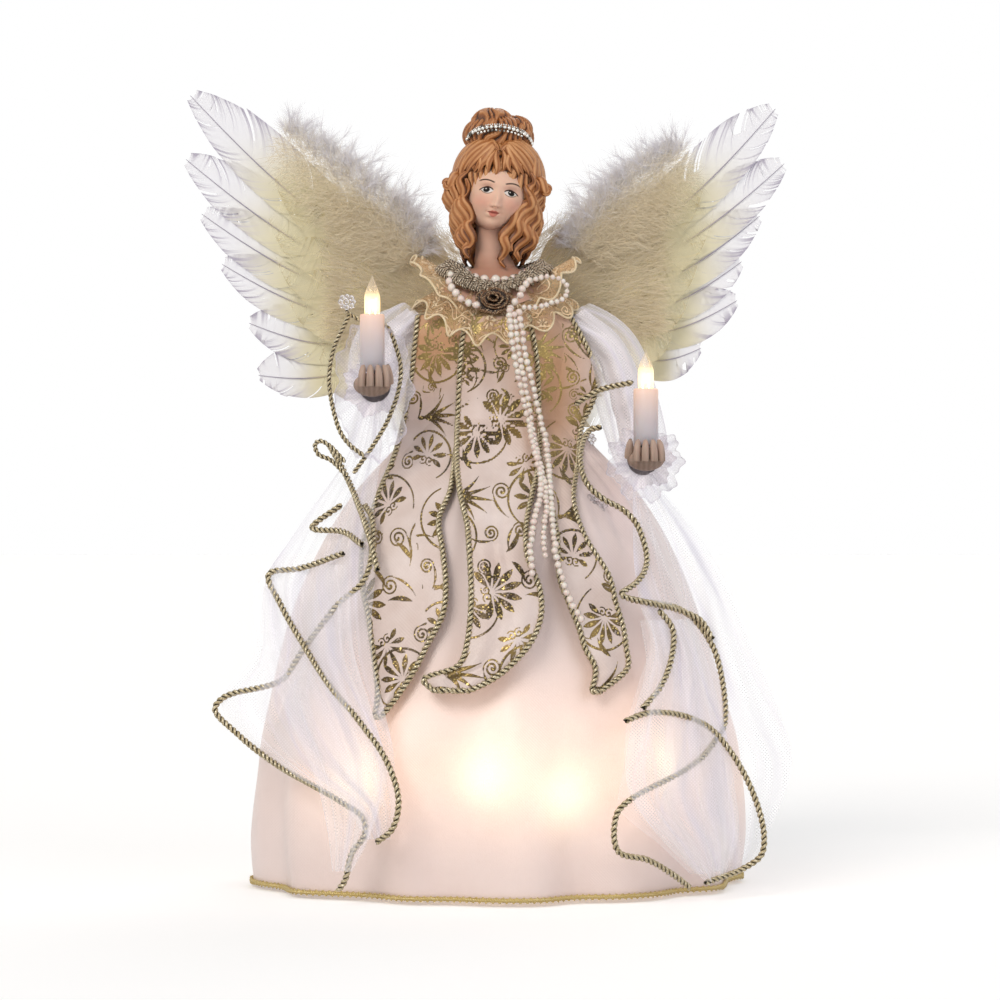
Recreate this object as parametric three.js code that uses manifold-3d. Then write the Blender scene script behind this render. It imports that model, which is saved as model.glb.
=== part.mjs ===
// Angel tree topper: a robed figure with feather wings on a hollow cone, lit by ten push-in lamps.
// Millimetres, +Z up, the front faces -Y. The origin is on the cone's axis, in the plane of its rim.
import * as THREE from "three";
import { mergeVertices } from "three/addons/utils/BufferGeometryUtils.js";
import Module from "manifold-3d";

const wasm = await Module();
wasm.setup();

// Fits
const seatGap = 0.3;
const cutOverrun = 2;

// Support cone
const coneHeight = 190;
const coneRimRadius = 62;
const coneTopRadius = 17;
const coneWall = 1.6;
const coneTopPlate = 2;
const rimFlangeWidth = 5;
const rimFlangeHeight = 2.4;

// Lamps
const glassRadius = 3.2;
const glassLength = 17;
const lampBaseRadius = 2.6;
const lampBaseLength = 9;
const glassOutlineShares = [
  [0.8, 0],
  [1, 0.22],
  [1, 0.5],
  [0.62, 0.78],
];
const socketWall = 1.4;
const socketFloor = 3;
const socketStandOut = 4;
const harnessWireRadius = 1.2;
const skirtLampHeight = 46;
const skirtLampAngles = [-37, -2, 18, 54, 96, 140, 184, 256];

// Skirt
const skirtHemHeight = 1.2;
const waistRise = 5.7;
const skirtHalfWidth = 101;
const skirtCloth = 1.2;
const skirtDepthShare = 0.94;
const skirtOutlineShares = [
  [0, 0.98],
  [0.11, 1],
  [0.28, 0.98],
  [0.42, 0.915],
  [0.56, 0.835],
  [0.7, 0.725],
  [0.82, 0.59],
  [0.93, 0.4],
];
const skirtFoldCount = 13;
const skirtFoldDepth = 2.6;
const hemCordRadius = 1.3;

// Torso and bodice
const torsoHeight = 52.7;
const torsoHalfWidth = 31;
const torsoDepthShare = 0.72;
const torsoOutlineShares = [
  [0, 0.76],
  [0.2, 0.86],
  [0.7, 1],
  [0.87, 0.86],
  [1, 0.55],
];
const bodiceCloth = 2.4;
const bodiceHemRise = 8.7;
const neckPegRadius = 5;
const neckPegLength = 9;

// Head, drawn as shares of the head's height above the neck's seat
const headHeight = 82;
const headWidth = 43;
const headDepth = 40;
const headTilt = 0.06;
const tiaraBeadRadius = 1;
const tiaraHalfAngle = 1.25;
const tiaraRiseShare = 0.4;

// Collars, rosette and pearls
const laceCloth = 1;
const neckRadius = 7.5;
const laceTopRise = 14;
const laceHalfWidth = 33;
const laceFrontReach = 31;
const laceBackReach = 20;
const laceSideDrop = 15;
const laceFrontDrop = 31;
const laceScallopCount = 15;
const laceScallopDepth = 1.6;
const braidHalfWidth = 3;
const braidHalfThickness = 1.5;
const rosetteRadius = 7;
const rosetteThickness = 4.4;
const rosetteStandOff = 4.3;
const rosetteDrop = 1;
const rosetteTiltAngle = 0.38 * Math.PI;
const rosetteRidgeShares = [
  [1, 0],
  [1, 0.5],
  [0.8, 0.85],
  [0.64, 0.6],
  [0.45, 1],
  [0.25, 0.7],
  [0, 1],
];
const neckPearlRadius = 2;
const strandPearlRadius = 1.5;
const threadShare = 0.35;
const pearlPitchShare = 1.3;

// Robe panels: height, left edge, right edge
const panelCloth = 1.2;
const panelCordRadius = 1.3;
const centreFoldDepth = 1.4;
const sideFoldDepth = 0.6;
const panelLayer = 3.2;
const panelLayerStep = 4.2;
const leftPanelRows = [
  [74, -47.5, -45],
  [83, -46.5, -38],
  [93, -47.5, -31.5],
  [103, -49, -26.5],
  [115, -51, -20.5],
  [127, -53.7, -19.5],
  [141, -53.5, -21],
  [152, -51, -22.5],
  [164, -47, -18],
  [180, -40, -17],
  [204, -27, -15],
];
const centrePanelRows = [
  [85, -24, -10],
  [89, -28, -1.5],
  [95, -14, 6.5],
  [104, -10.8, 14.4],
  [114, -9.6, 18.3],
  [125, -9.3, 17.8],
  [138, -10, 12.9],
  [150, -11, 12.7],
  [162, -13.8, 15],
  [175, -15.4, 18],
  [204, -15, 18],
];
const rightPanelRows = [
  [84, 38.5, 42],
  [93, 40, 53],
  [101, 36, 52.5],
  [109, 33.6, 51.4],
  [118, 30, 48.7],
  [129, 26, 46],
  [146, 25, 36],
  [160, 23.5, 32],
  [175, 20.5, 34],
  [190, 17.5, 32],
  [204, 15, 27],
];

// Arms: the shoulder pin's axis runs along X, and a wire runs on to the wrist. The places of an arm are
// how far out they are from the pin's end, how far along Y, and how far up from the pin's axis.
const shoulderDrop = 8;
const shoulderPinRadius = 3;
const shoulderPinReach = 37.5;
const shoulderPinSeat = 12;
const armWireRadius = 1.6;
const sleeveBore = 2.4;
const sleeveShoulderRadius = 6;
const sleeveWristRadius = 8;
const cuffCloth = 1.2;
const cuffLength = 19;
const cuffNarrowRadius = 6.5;
const cuffWideRadius = 13.5;
const cuffRuffleCount = 9;
const cuffRuffleDepth = 1.2;
const cuffSetBack = 9;
const palmRadii = [8, 7.4, 5];
const fingerRadii = [1.5, 1.5, 4.4];
const fingerSpread = 3.1;
const candleRadius = 5;
const candleWall = 0.8;
const candleHeight = 23;
const leftCandleFoot = [12, -58, -23];
const leftArmBends = [
  [8, -5, -10],
  [11, -13, -24],
];
const rightCandleFoot = [23.5, -58, -53];
const rightArmBends = [
  [10.5, -4, -12],
  [19.5, -10, -39],
];

// Organza drapes: height, outer edge, inner edge, how far the row stands forward of the skirt's front
const organzaCloth = 1;
const organzaLayer = 10;
const organzaRipple = 1.6;
const organzaRippleCount = 3;
const organzaCordRadius = 1.3;
const leftDrapeRows = [
  [27, -51, -41, 0],
  [39, -60, -39, 0],
  [51, -84, -39, 0],
  [63, -102, -40, 0],
  [79, -111, -44, 0],
  [95, -99, -48, 0],
  [111, -95, -49, 0],
  [129, -93, -48, 0],
  [143, -84, -49, 0],
  [157, -75, -49, 0],
  [176, -62, -47, 4],
];
const rightDrapeRows = [
  [11, 102, 78, 0],
  [23, 109, 66, 0],
  [39, 116, 49, 0],
  [55, 120, 51, 0],
  [71, 116, 52, 0],
  [87, 110, 57, 0],
  [103, 103, 62, 0],
  [119, 98, 58, 0],
  [135, 90, 56, 0],
  [150, 80, 56, 0],
];

// Wings: the places of a wing are how far out they are from the hinge pin and how far up from the top of
// the bracket, with a radius for the fluff
const featherThickness = 0.8;
const featherWidth = 21;
const featherBow = 5;
const featherOutlineShares = [
  [0, 0.1],
  [0.12, 0.16],
  [0.3, 0.75],
  [0.55, 1],
  [0.8, 0.92],
  [0.94, 0.55],
  [1, 0.08],
];
const featherRootStep = [3, -6];
const cardReachShares = {
  low: [0.12, 0.5],
  lowOuter: [0.34, 0.25],
  highOuter: [0.4, 0.34],
  high: [0.12, 0.36],
};
const hingeOffset = 14;
const hingePinRadius = 1.3;
const hingeWall = 1.4;
const bracketThickness = 2;
const bracketHeight = 22;
const bracketEar = 3;
const bracketStandOff = 5;
const cardThickness = 1.2;
const fluffDepthShare = 0.55;
const leftFeatherRoot = [19, 14];
const leftFeatherTips = [
  [120, 99],
  [122, 71],
  [115, 47],
  [106, 25],
  [94, -1],
  [90, -24],
];
const leftFluffRoute = [
  [76, 80, 7],
  [52, 63, 11],
  [30, 44, 11],
  [17, 28, 7],
];
const rightFeatherRoot = [22, 16];
const rightFeatherTips = [
  [109, 93],
  [113, 69],
  [102, 46],
  [94, 26],
  [92, 9],
  [76, -12],
];
const rightFluffRoute = [
  [66, 72, 7],
  [48, 60, 11],
  [32, 46, 11],
  [19, 30, 7],
];

// Strands of pearls: across, up, and how far forward of the robe's front
const leftStrandRoute = [
  [6, 238, 6.5],
  [5, 231, 8],
  [7.4, 220, 5],
  [11, 205, 4.5],
  [13.5, 194, 5.5],
  [16.5, 182, 3],
  [19, 173],
  [20, 161],
  [16, 150],
  [15, 132],
];
const rightStrandRoute = [
  [10, 237, 8],
  [13, 222, 6.5],
  [17, 205, 3.5],
  [19, 194, 4],
  [21.6, 183, 2],
  [24, 166],
  [25, 154],
  [25, 142],
  [27, 130],
  [30, 120],
  [34.6, 114],
];

// Small helpers for numbers and tables
const radians = THREE.MathUtils.degToRad;
const lerp = THREE.MathUtils.lerp;
const point = (x, y, z) => new THREE.Vector3(x, y, z);

// The value that a table of rising [place, value] pairs gives at a place.
function lookUp(table, place) {
  const above = table.findIndex(([at]) => at >= place);
  if (above === 0) return table[0][1];
  if (above < 0) return table.at(-1)[1];
  const [low, lowValue] = table[above - 1];
  const [high, highValue] = table[above];
  return lerp(lowValue, highValue, (place - low) / (high - low));
}

// Solids: a closed geometry becomes one that can be joined and cut, and goes back to a geometry
function solidOf(geometry) {
  const bare = new THREE.BufferGeometry().setAttribute("position", geometry.getAttribute("position"));
  if (geometry.index) bare.setIndex(geometry.index);
  const merged = mergeVertices(bare, 1e-3);
  const vertProperties = new Float32Array(merged.attributes.position.array);
  const triVerts = new Uint32Array(merged.index.array);
  return new wasm.Manifold(new wasm.Mesh({ numProp: 3, vertProperties, triVerts }));
}

function geometryOf(solid) {
  const { vertProperties, triVerts } = solid.getMesh();
  const geometry = new THREE.BufferGeometry();
  geometry.setAttribute("position", new THREE.BufferAttribute(new Float32Array(vertProperties), 3));
  geometry.setIndex(new THREE.BufferAttribute(new Uint32Array(triVerts), 1));
  geometry.computeVertexNormals();
  return geometry;
}

function joined(geometries) {
  return geometryOf(geometries.map(solidOf).reduce((all, next) => all.add(next)));
}

function cut(geometry, tools) {
  return geometryOf(tools.map(solidOf).reduce((left, tool) => left.subtract(tool), solidOf(geometry)));
}

// A closed body through rings of points, each anticlockwise seen against the way the rings run.
// A looped body joins its last ring to its first, and any other has flat ends.
function bodyOfRings(rings, looped) {
  const count = rings[0].length;
  const positions = rings.flat().flatMap((p) => [p.x, p.y, p.z]);
  const faces = [];
  for (let ring = 0; ring < (looped ? rings.length : rings.length - 1); ring++) {
    const here = ring * count;
    const there = ((ring + 1) % rings.length) * count;
    for (let side = 0; side < count; side++) {
      const next = (side + 1) % count;
      faces.push(here + side, here + next, there + next);
      faces.push(here + side, there + next, there + side);
    }
  }
  const top = (rings.length - 1) * count;
  for (let side = 0; !looped && side < count / 2 - 1; side++) {
    const across = count - 1 - side;
    faces.push(side, across, across - 1);
    faces.push(side, across - 1, side + 1);
    faces.push(top + side, top + side + 1, top + across - 1);
    faces.push(top + side, top + across - 1, top + across);
  }
  const geometry = new THREE.BufferGeometry();
  geometry.setAttribute("position", new THREE.Float32BufferAttribute(positions, 3));
  geometry.setIndex(faces);
  geometry.computeVertexNormals();
  return geometry;
}

// A ring of points round a path's own axes, at a share of the path.
function sectionRings(points, closed, steps, sides, reachAt) {
  const path = new THREE.CatmullRomCurve3(points, closed);
  const frames = path.computeFrenetFrames(steps, closed);
  const rings = [];
  for (let step = 0; step < (closed ? steps : steps + 1); step++) {
    const share = step / steps;
    const centre = path.getPointAt(share);
    rings.push(
      Array.from({ length: sides }, (_, side) => {
        const angle = (side / sides) * 2 * Math.PI;
        const [reachN, reachB] = reachAt(share, step);
        return centre
          .clone()
          .addScaledVector(frames.normals[step], reachN * Math.cos(angle))
          .addScaledVector(frames.binormals[step], reachB * Math.sin(angle));
      }),
    );
  }
  return rings;
}

function cordAlong(points, radius, steps, sides, closed = false) {
  return bodyOfRings(sectionRings(points, closed, steps, sides, () => [radius, radius]), closed);
}

// A wire or rod along a path, with flat ends.
function rodAlong(points, radius, steps, sides) {
  const section = new THREE.Shape();
  section.absarc(0, 0, radius, 0, 2 * Math.PI);
  const extrudePath = new THREE.CatmullRomCurve3(points);
  return new THREE.ExtrudeGeometry(section, { steps, curveSegments: sides / 2, extrudePath });
}

// Pearls on a thread: the section swells at each pearl and draws in between them.
function pearlsAlong(points, radius, closed = false) {
  const length = new THREE.CatmullRomCurve3(points, closed).getLength();
  const pearls = Math.round(length / (pearlPitchShare * 2 * radius));
  const stepsEach = 2;
  const swell = [threadShare, 1];
  const reachAt = (share, step) => [radius * swell[step % stepsEach], radius * swell[step % stepsEach]];
  return bodyOfRings(sectionRings(points, closed, pearls * stepsEach, 4, reachAt), closed);
}

// A thin shell round an upright axis: pointAt(level, angle, inside) gives its two faces.
function shellOfLevels(levels, sides, pointAt) {
  const ring = (share, inside) =>
    Array.from({ length: sides }, (_, side) => pointAt(share, (side / sides) * 2 * Math.PI, inside));
  const up = levels.map((share) => ring(share, false));
  const down = [...levels].reverse().map((share) => ring(share, true));
  return bodyOfRings([...up, ...down], true);
}

const evenLevels = (count) => Array.from({ length: count + 1 }, (_, level) => level / count);

// A body turned round the Z axis from a profile of [radius, height] pairs.
function turned(profile, sides) {
  const points = profile.map(([radius, height]) => new THREE.Vector2(radius, height));
  return new THREE.LatheGeometry(points, sides).rotateX(Math.PI / 2);
}

function ball(centre, radii, across, up) {
  const geometry = new THREE.SphereGeometry(1, across, up);
  geometry.rotateX(Math.PI / 2);
  return geometry.scale(...radii).translate(...centre);
}

function block(low, high) {
  const size = high.map((value, axis) => value - low[axis]);
  const middle = high.map((value, axis) => (value + low[axis]) / 2);
  return new THREE.BoxGeometry(...size).translate(...middle);
}

function uprightPin(radius, x, y, low, high, sides) {
  const pin = new THREE.CylinderGeometry(radius, radius, high - low, sides).rotateX(Math.PI / 2);
  return pin.translate(x, y, (low + high) / 2);
}

function crossPin(radius, from, to, y, z, sides) {
  const pin = new THREE.CylinderGeometry(radius, radius, Math.abs(to - from), sides).rotateZ(Math.PI / 2);
  return pin.translate((from + to) / 2, y, z);
}

// Finishes
const finish = (color, roughness, metalness = 0) =>
  new THREE.MeshStandardMaterial({ color, roughness, metalness });
const finishes = {
  shell: finish("#e9e6df", 0.55),
  wire: finish("#3f5a3c", 0.5),
  glass: finish("#fff3d6", 0.08),
  satin: finish("#f1e3dc", 0.35),
  brocade: finish("#d3bfae", 0.5, 0.15),
  cord: finish("#a58a4c", 0.45, 0.5),
  lace: finish("#e3d8bd", 0.7),
  pearl: finish("#f4eee4", 0.25),
  skin: finish("#efc9b4", 0.5),
  silver: finish("#9b9a93", 0.3, 0.8),
  organza: finish("#e4dfe2", 0.3),
  feather: finish("#ddd3b0", 0.8),
  fluff: finish("#f2f0ef", 0.95),
  candle: finish("#f3ead2", 0.5),
  steel: finish("#8d8f91", 0.4, 0.7),
};

const topper = new THREE.Group();

function addPiece(name, geometry, material, parent = topper) {
  const mesh = new THREE.Mesh(geometry, material);
  mesh.name = name;
  parent.add(mesh);
  return mesh;
}

// Heights that stack on the cone
const torsoBaseHeight = coneHeight + seatGap;
const torsoTopHeight = torsoBaseHeight + torsoHeight;
const skirtTopHeight = torsoBaseHeight + waistRise;
const bodiceHemHeight = torsoBaseHeight + bodiceHemRise;
const shoulderHeight = torsoTopHeight - shoulderDrop;
const neckSeatHeight = torsoTopHeight + seatGap;
const laceTopHeight = torsoTopHeight + laceTopRise;

// Support cone: open below, flanged at the rim, with a hole for each lamp socket
const socketRadius = lampBaseRadius + seatGap + socketWall;
const coneRadiusAt = (height) => lerp(coneRimRadius, coneTopRadius, height / coneHeight);
const lampRingRadius = coneRadiusAt(skirtLampHeight);

function radialPin(radius, from, to, angle) {
  const pin = new THREE.CylinderGeometry(radius, radius, to - from, 12).translate(0, (from + to) / 2, 0);
  return pin.rotateZ(Math.PI + radians(angle)).translate(0, 0, skirtLampHeight);
}

function supportCone() {
  const shell = turned(
    [
      [0, coneHeight - coneTopPlate],
      [coneTopRadius - coneWall, coneHeight - coneTopPlate],
      [coneRimRadius - coneWall, 0],
      [coneRimRadius + rimFlangeWidth, 0],
      [coneRimRadius + rimFlangeWidth, rimFlangeHeight],
      [coneRadiusAt(rimFlangeHeight), rimFlangeHeight],
      [coneTopRadius, coneHeight],
      [0, coneHeight],
    ],
    28,
  );
  const reach = [lampRingRadius - coneTopRadius, lampRingRadius + coneTopRadius];
  return cut(
    shell,
    skirtLampAngles.map((angle) => radialPin(socketRadius + seatGap, ...reach, angle)),
  );
}

// Lamps, drawn upright from the end of their base
function lamp() {
  const glass = glassOutlineShares.map(([radius, up]) => [
    glassRadius * radius,
    lampBaseLength + glassLength * up,
  ]);
  const tip = [0, lampBaseLength + glassLength];
  return turned([[0, 0], [lampBaseRadius, 0], [lampBaseRadius, lampBaseLength], ...glass, tip], 8);
}

// A socket, drawn upright: closed at its floor, with a bore for the lamp's base.
function socket(outerRadius, length) {
  const bore = lampBaseRadius + seatGap;
  const floor = length - lampBaseLength - seatGap;
  const outside = [[0, 0], [outerRadius, 0], [outerRadius, length]];
  return turned([...outside, [bore, length], [bore, floor], [0, floor]], 8);
}

const socketLength = lampBaseLength + seatGap + socketFloor;
const socketMouth = lampRingRadius + socketStandOut;

function placeRadially(object, angle, radius) {
  const turn = radians(angle);
  object.position.set(radius * Math.sin(turn), -radius * Math.cos(turn), skirtLampHeight);
  object.rotation.set(Math.PI / 2, 0, turn, "ZYX");
}

function lightString() {
  const back = socketMouth - socketLength;
  const loop = Array.from({ length: 8 }, (_, corner) => {
    const angle = (corner / 8) * 2 * Math.PI;
    return point(back * Math.cos(angle), back * Math.sin(angle), skirtLampHeight);
  });
  const sockets = skirtLampAngles.map((angle) => {
    const holder = new THREE.Object3D();
    placeRadially(holder, angle, back);
    holder.updateMatrixWorld();
    return socket(socketRadius, socketLength).applyMatrix4(holder.matrixWorld);
  });
  return joined([cordAlong(loop, harnessWireRadius, 24, 4, true), ...sockets]);
}

addPiece("support_cone", supportCone(), finishes.shell);
addPiece("light_string", lightString(), finishes.wire);
skirtLampAngles.forEach((angle, index) => {
  const bulb = addPiece(`skirt_bulb_${index + 1}`, lamp(), finishes.glass);
  placeRadially(bulb, angle, socketMouth - lampBaseLength);
});

// Torso: stands on the cone, with a bore for the neck's peg and one for each shoulder pin
const torsoWidthAt = (height) =>
  torsoHalfWidth * lookUp(torsoOutlineShares, (height - torsoBaseHeight) / torsoHeight);
const shoulderPinInner = torsoWidthAt(shoulderHeight) - shoulderPinSeat;

function armOf(side, sign, foot, bends) {
  const placed = ([out, along, up]) => [sign * (shoulderPinReach + out), along, shoulderHeight + up];
  return { side, sign, candleFoot: placed(foot), bends: bends.map(placed) };
}

const arms = [
  armOf("left", -1, leftCandleFoot, leftArmBends),
  armOf("right", 1, rightCandleFoot, rightArmBends),
];

function torso() {
  const outline = torsoOutlineShares.map(([up, width]) => [
    torsoHalfWidth * width,
    lerp(torsoBaseHeight, torsoTopHeight, up),
  ]);
  const round = turned([[0, torsoBaseHeight], ...outline, [0, torsoTopHeight]], 24);
  const body = round.scale(1, torsoDepthShare, 1);
  const pinBores = arms.map(({ sign }) =>
    crossPin(
      shoulderPinRadius + seatGap,
      sign * (shoulderPinInner - seatGap),
      sign * (torsoHalfWidth + cutOverrun),
      0,
      shoulderHeight,
      16,
    ),
  );
  const pegBore = uprightPin(
    neckPegRadius + seatGap,
    0,
    0,
    torsoTopHeight - neckPegLength - seatGap,
    torsoTopHeight + cutOverrun,
    16,
  );
  return cut(body, [...pinBores, pegBore]);
}

function bodice() {
  const rises = torsoOutlineShares.map(([up]) => lerp(torsoBaseHeight, torsoTopHeight, up));
  const heights = [bodiceHemHeight, ...rises.filter((height) => height > bodiceHemHeight)];
  const shell = shellOfLevels(heights, 24, (height, angle, inside) => {
    const halfWidth = torsoWidthAt(height) + seatGap + (inside ? 0 : bodiceCloth);
    const depthGap = (seatGap + (inside ? 0 : bodiceCloth)) * (1 - torsoDepthShare);
    const depth = halfWidth * torsoDepthShare + depthGap;
    return point(halfWidth * Math.cos(angle), depth * Math.sin(angle), height);
  });
  const reach = torsoHalfWidth + bodiceCloth + cutOverrun;
  const armHoles = arms.map(({ sign }) =>
    crossPin(shoulderPinRadius + seatGap, sign * shoulderPinInner, sign * reach, 0, shoulderHeight, 16),
  );
  return cut(shell, armHoles);
}

addPiece("torso", torso(), finishes.shell);
addPiece("bodice", bodice(), finishes.brocade);

// Skirt: gathered at the waist, opening to a bell, its folds growing towards the hem
const waistHalfWidth = torsoWidthAt(skirtTopHeight) + seatGap + skirtCloth;
const skirtOutline = [
  ...skirtOutlineShares.map(([up, width]) => [
    lerp(skirtHemHeight, skirtTopHeight, up),
    skirtHalfWidth * width,
  ]),
  [skirtTopHeight, waistHalfWidth],
];
const bellTopShare = 0.75;
const skirtDepthAt = (height) =>
  lookUp(
    [
      [bellTopShare * coneHeight, skirtDepthShare],
      [skirtTopHeight, torsoDepthShare],
    ],
    height,
  );
const waistFoldShare = 0.3;
const slowFoldShare = 0.4;
const slowFoldCount = 5;
const foldShares = [[skirtHemHeight, 1], [coneHeight, waistFoldShare], [skirtTopHeight, 0]];
const foldDepthAt = (height) => skirtFoldDepth * lookUp(foldShares, height);
const skirtWidthAt = (height) => lookUp(skirtOutline, height);

function skirtPoint(height, angle, inward) {
  const slowFold = slowFoldShare * Math.cos(slowFoldCount * angle + 1);
  const fold = foldDepthAt(height) * (Math.cos(skirtFoldCount * angle) + slowFold);
  const radius = skirtWidthAt(height) + fold - inward;
  return point(radius * Math.cos(angle), radius * skirtDepthAt(height) * Math.sin(angle), height);
}

function skirt() {
  const heights = skirtOutline.map(([height]) => height);
  return shellOfLevels(heights, 4 * skirtFoldCount, (height, angle, inside) =>
    skirtPoint(height, angle, inside ? skirtCloth : 0),
  );
}

function hemCord() {
  const height = skirtHemHeight + hemCordRadius;
  const outward = hemCordRadius + 2 * seatGap;
  const corners = 6 * skirtFoldCount;
  const route = Array.from({ length: corners }, (_, corner) =>
    skirtPoint(height, (corner / corners) * 2 * Math.PI, -outward),
  );
  return cordAlong(route, hemCordRadius, corners, 4, true);
}

addPiece("skirt", skirt(), finishes.satin);
addPiece("skirt_hem_cord", hemCord(), finishes.cord);

// Head: one casting of bust, face and dressed hair, with a peg in the torso
// Each mass of the casting: its centre and radii, as shares of the head's width, depth and height
const headMassShares = {
  face: [[0.02, -0.08, 0.53], [0.3, 0.35, 0.225]],
  hair: [[-0.02, 0.1, 0.61], [0.47, 0.45, 0.24]],
  crownRoll: [[0.02, 0.06, 0.88], [0.34, 0.31, 0.115]],
  crownTip: [[0.2, 0.2, 0.85], [0.2, 0.2, 0.09]],
  leftRinglets: [[-0.4, 0.02, 0.42], [0.14, 0.22, 0.2]],
  rightRinglets: [[0.36, 0.02, 0.42], [0.14, 0.22, 0.2]],
  nose: [[0.02, -0.42, 0.49], [0.045, 0.07, 0.04]],
};

const bustShares = [
  [1.7, 0],
  [1.5, 0.4],
  [1, 1],
];
const neckTopShare = 0.42;

// The centre and radii of a mass in millimetres.
function massSizes(shares) {
  const size = [headWidth, headDepth, headHeight];
  return shares.map((triple) => triple.map((share, axis) => share * size[axis]));
}

// The head leans about the middle of its face, over an upright neck.
function tilted(geometry) {
  const [[x, , z]] = massSizes(headMassShares.face);
  return geometry.translate(-x, 0, -z).rotateY(headTilt).translate(x, 0, z);
}

function head() {
  const neckTop = neckTopShare * headHeight;
  const masses = Object.entries(headMassShares).map(([name, shares]) => {
    const [centre, radii] = massSizes(shares);
    return tilted(ball(centre, radii, ...(name === "nose" ? [6, 4] : [12, 7])));
  });
  const bust = turned(
    [
      [0, 0],
      ...bustShares.map(([across, up]) => [across * neckRadius, up * neckRadius]),
      [neckRadius, neckTop],
      [0, neckTop],
    ],
    16,
  );
  const peg = uprightPin(neckPegRadius, 0, 0, -neckPegLength, neckRadius, 12);
  return joined([bust, peg, ...masses]).translate(0, 0, neckSeatHeight);
}

// Tiara: a bead chain arched over the front of the crown roll
function tiara() {
  const [centre, radii] = massSizes(headMassShares.crownRoll);
  const off = tiaraBeadRadius + seatGap;
  const route = evenLevels(10).map((share) => {
    const angle = lerp(-tiaraHalfAngle, tiaraHalfAngle, share);
    const rise = tiaraRiseShare * radii[2] * Math.cos(2 * angle);
    const draw = Math.sqrt(1 - (rise / radii[2]) ** 2);
    const x = centre[0] + (radii[0] * draw + off) * Math.sin(angle);
    const y = centre[1] - (radii[1] * draw + off) * Math.cos(angle);
    return point(x, y, centre[2] + rise);
  });
  return tilted(pearlsAlong(route, tiaraBeadRadius)).translate(0, 0, neckSeatHeight);
}

// Lace collar: a scalloped ruffle that slopes from the neck over the shoulders
const laceInner = neckRadius + seatGap;
const laceSlopePower = 1.2;

function lacePoint(share, angle, lift) {
  const front = Math.max(0, -Math.sin(angle));
  const reach = Math.sin(angle) < 0 ? laceFrontReach : laceBackReach;
  const drop = lerp(laceSideDrop, laceFrontDrop, front * front);
  const scallop = laceScallopDepth * share * Math.cos(laceScallopCount * angle);
  const across = lerp(laceInner, laceHalfWidth, share) + scallop;
  const along = lerp(laceInner, reach, share) + scallop;
  const height = laceTopHeight - drop * share ** laceSlopePower;
  return point(across * Math.cos(angle), along * Math.sin(angle), height + lift);
}

function laceCollar() {
  return shellOfLevels([1, 0.7, 0.35, 0], 3 * laceScallopCount, (share, angle, inside) =>
    lacePoint(share, angle, inside ? -laceCloth : 0),
  );
}

// A loop that lies on the lace, at a share of the way from the neck to its edge.
const loopCornerCount = 16;

function loopOnLace(share, lift) {
  return Array.from({ length: loopCornerCount }, (_, corner) => {
    const angle = (corner / loopCornerCount) * 2 * Math.PI;
    const flat = lacePoint(share, angle, lift);
    const wave = laceScallopDepth * share;
    const reach = Math.hypot(flat.x, flat.y);
    const calm = (reach - wave * Math.cos(laceScallopCount * angle)) / reach;
    return point(flat.x * calm, flat.y * calm, flat.z);
  });
}

const braidPlaceShare = 0.5;
const necklacePlaceShare = 0.2;

function pearlNecklace() {
  const route = loopOnLace(necklacePlaceShare, neckPearlRadius + 2 * seatGap);
  return pearlsAlong(route, neckPearlRadius, true);
}

function braidCollar() {
  const route = loopOnLace(braidPlaceShare, braidHalfWidth + laceScallopDepth + 2 * seatGap);
  const reachAt = () => [braidHalfThickness, braidHalfWidth];
  return bodyOfRings(sectionRings(route, true, 24, 6, reachAt), true);
}

addPiece("head", head(), finishes.skin);
addPiece("tiara", tiara(), finishes.silver);
addPiece("lace_collar", laceCollar(), finishes.lace);
addPiece("braid_collar", braidCollar(), finishes.cord);
addPiece("pearl_necklace", pearlNecklace(), finishes.pearl);

// Robe: the front of the cloth at a height, a layer's distance off the skirt and the bodice
const openFrontShare = 0.8;

function robeWidthAt(height) {
  const skirtReach = skirtWidthAt(height) + (1 + slowFoldShare) * foldDepthAt(height);
  const bodiceOff = (seatGap + bodiceCloth) / torsoDepthShare;
  const bodiceReach = torsoWidthAt(Math.max(height, bodiceHemHeight)) + bodiceOff;
  return Math.max(skirtReach, bodiceReach);
}

function robeFront(across, height, layer) {
  const halfWidth = robeWidthAt(height) + layer;
  const reach = Math.min(Math.abs(across), openFrontShare * halfWidth);
  return -skirtDepthAt(height) * Math.sqrt(halfWidth ** 2 - reach ** 2);
}

// The same place on both edges of a cloth, from rows of [height, first edge, second edge, forward].
function rowsAlong(rows, steps) {
  const curve = (points) => new THREE.CatmullRomCurve3(points, false, "centripetal");
  const first = curve(rows.map(([height, x, , forward = 0]) => point(x, forward, height)));
  const second = curve(rows.map(([height, , x, forward = 0]) => point(x, forward, height)));
  return evenLevels(steps).map((share) => [first.getPoint(share), second.getPoint(share)]);
}

const foldAt = (ripple, share) => (ripple.depth * (1 - Math.cos(2 * Math.PI * ripple.count * share))) / 2;

// A hanging cloth: each row runs across its front from left to right and back along its inside.
function hangingCloth(rows, steps, columns, layer, cloth, ripple) {
  const rings = rowsAlong(rows, steps).map(([first, second]) => {
    const front = evenLevels(columns).map((share) => {
      const left = first.x < second.x ? first : second;
      const right = first.x < second.x ? second : first;
      const across = lerp(left.x, right.x, share);
      const front = robeFront(across, left.z, layer) - foldAt(ripple, share);
      return point(across, front - left.y, left.z);
    });
    const inside = front.map((p) => point(p.x, p.y + cloth, p.z)).reverse();
    return [...front, ...inside];
  });
  return bodyOfRings(rings, false);
}

// The route of a cord down one edge of a cloth.
function edgeRoute(rows, steps, side, layer, cloth) {
  return rowsAlong(rows, steps).map((ends) => {
    const edge = ends[side];
    return point(edge.x, robeFront(edge.x, edge.z, layer) - edge.y + cloth / 2, edge.z);
  });
}

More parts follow.
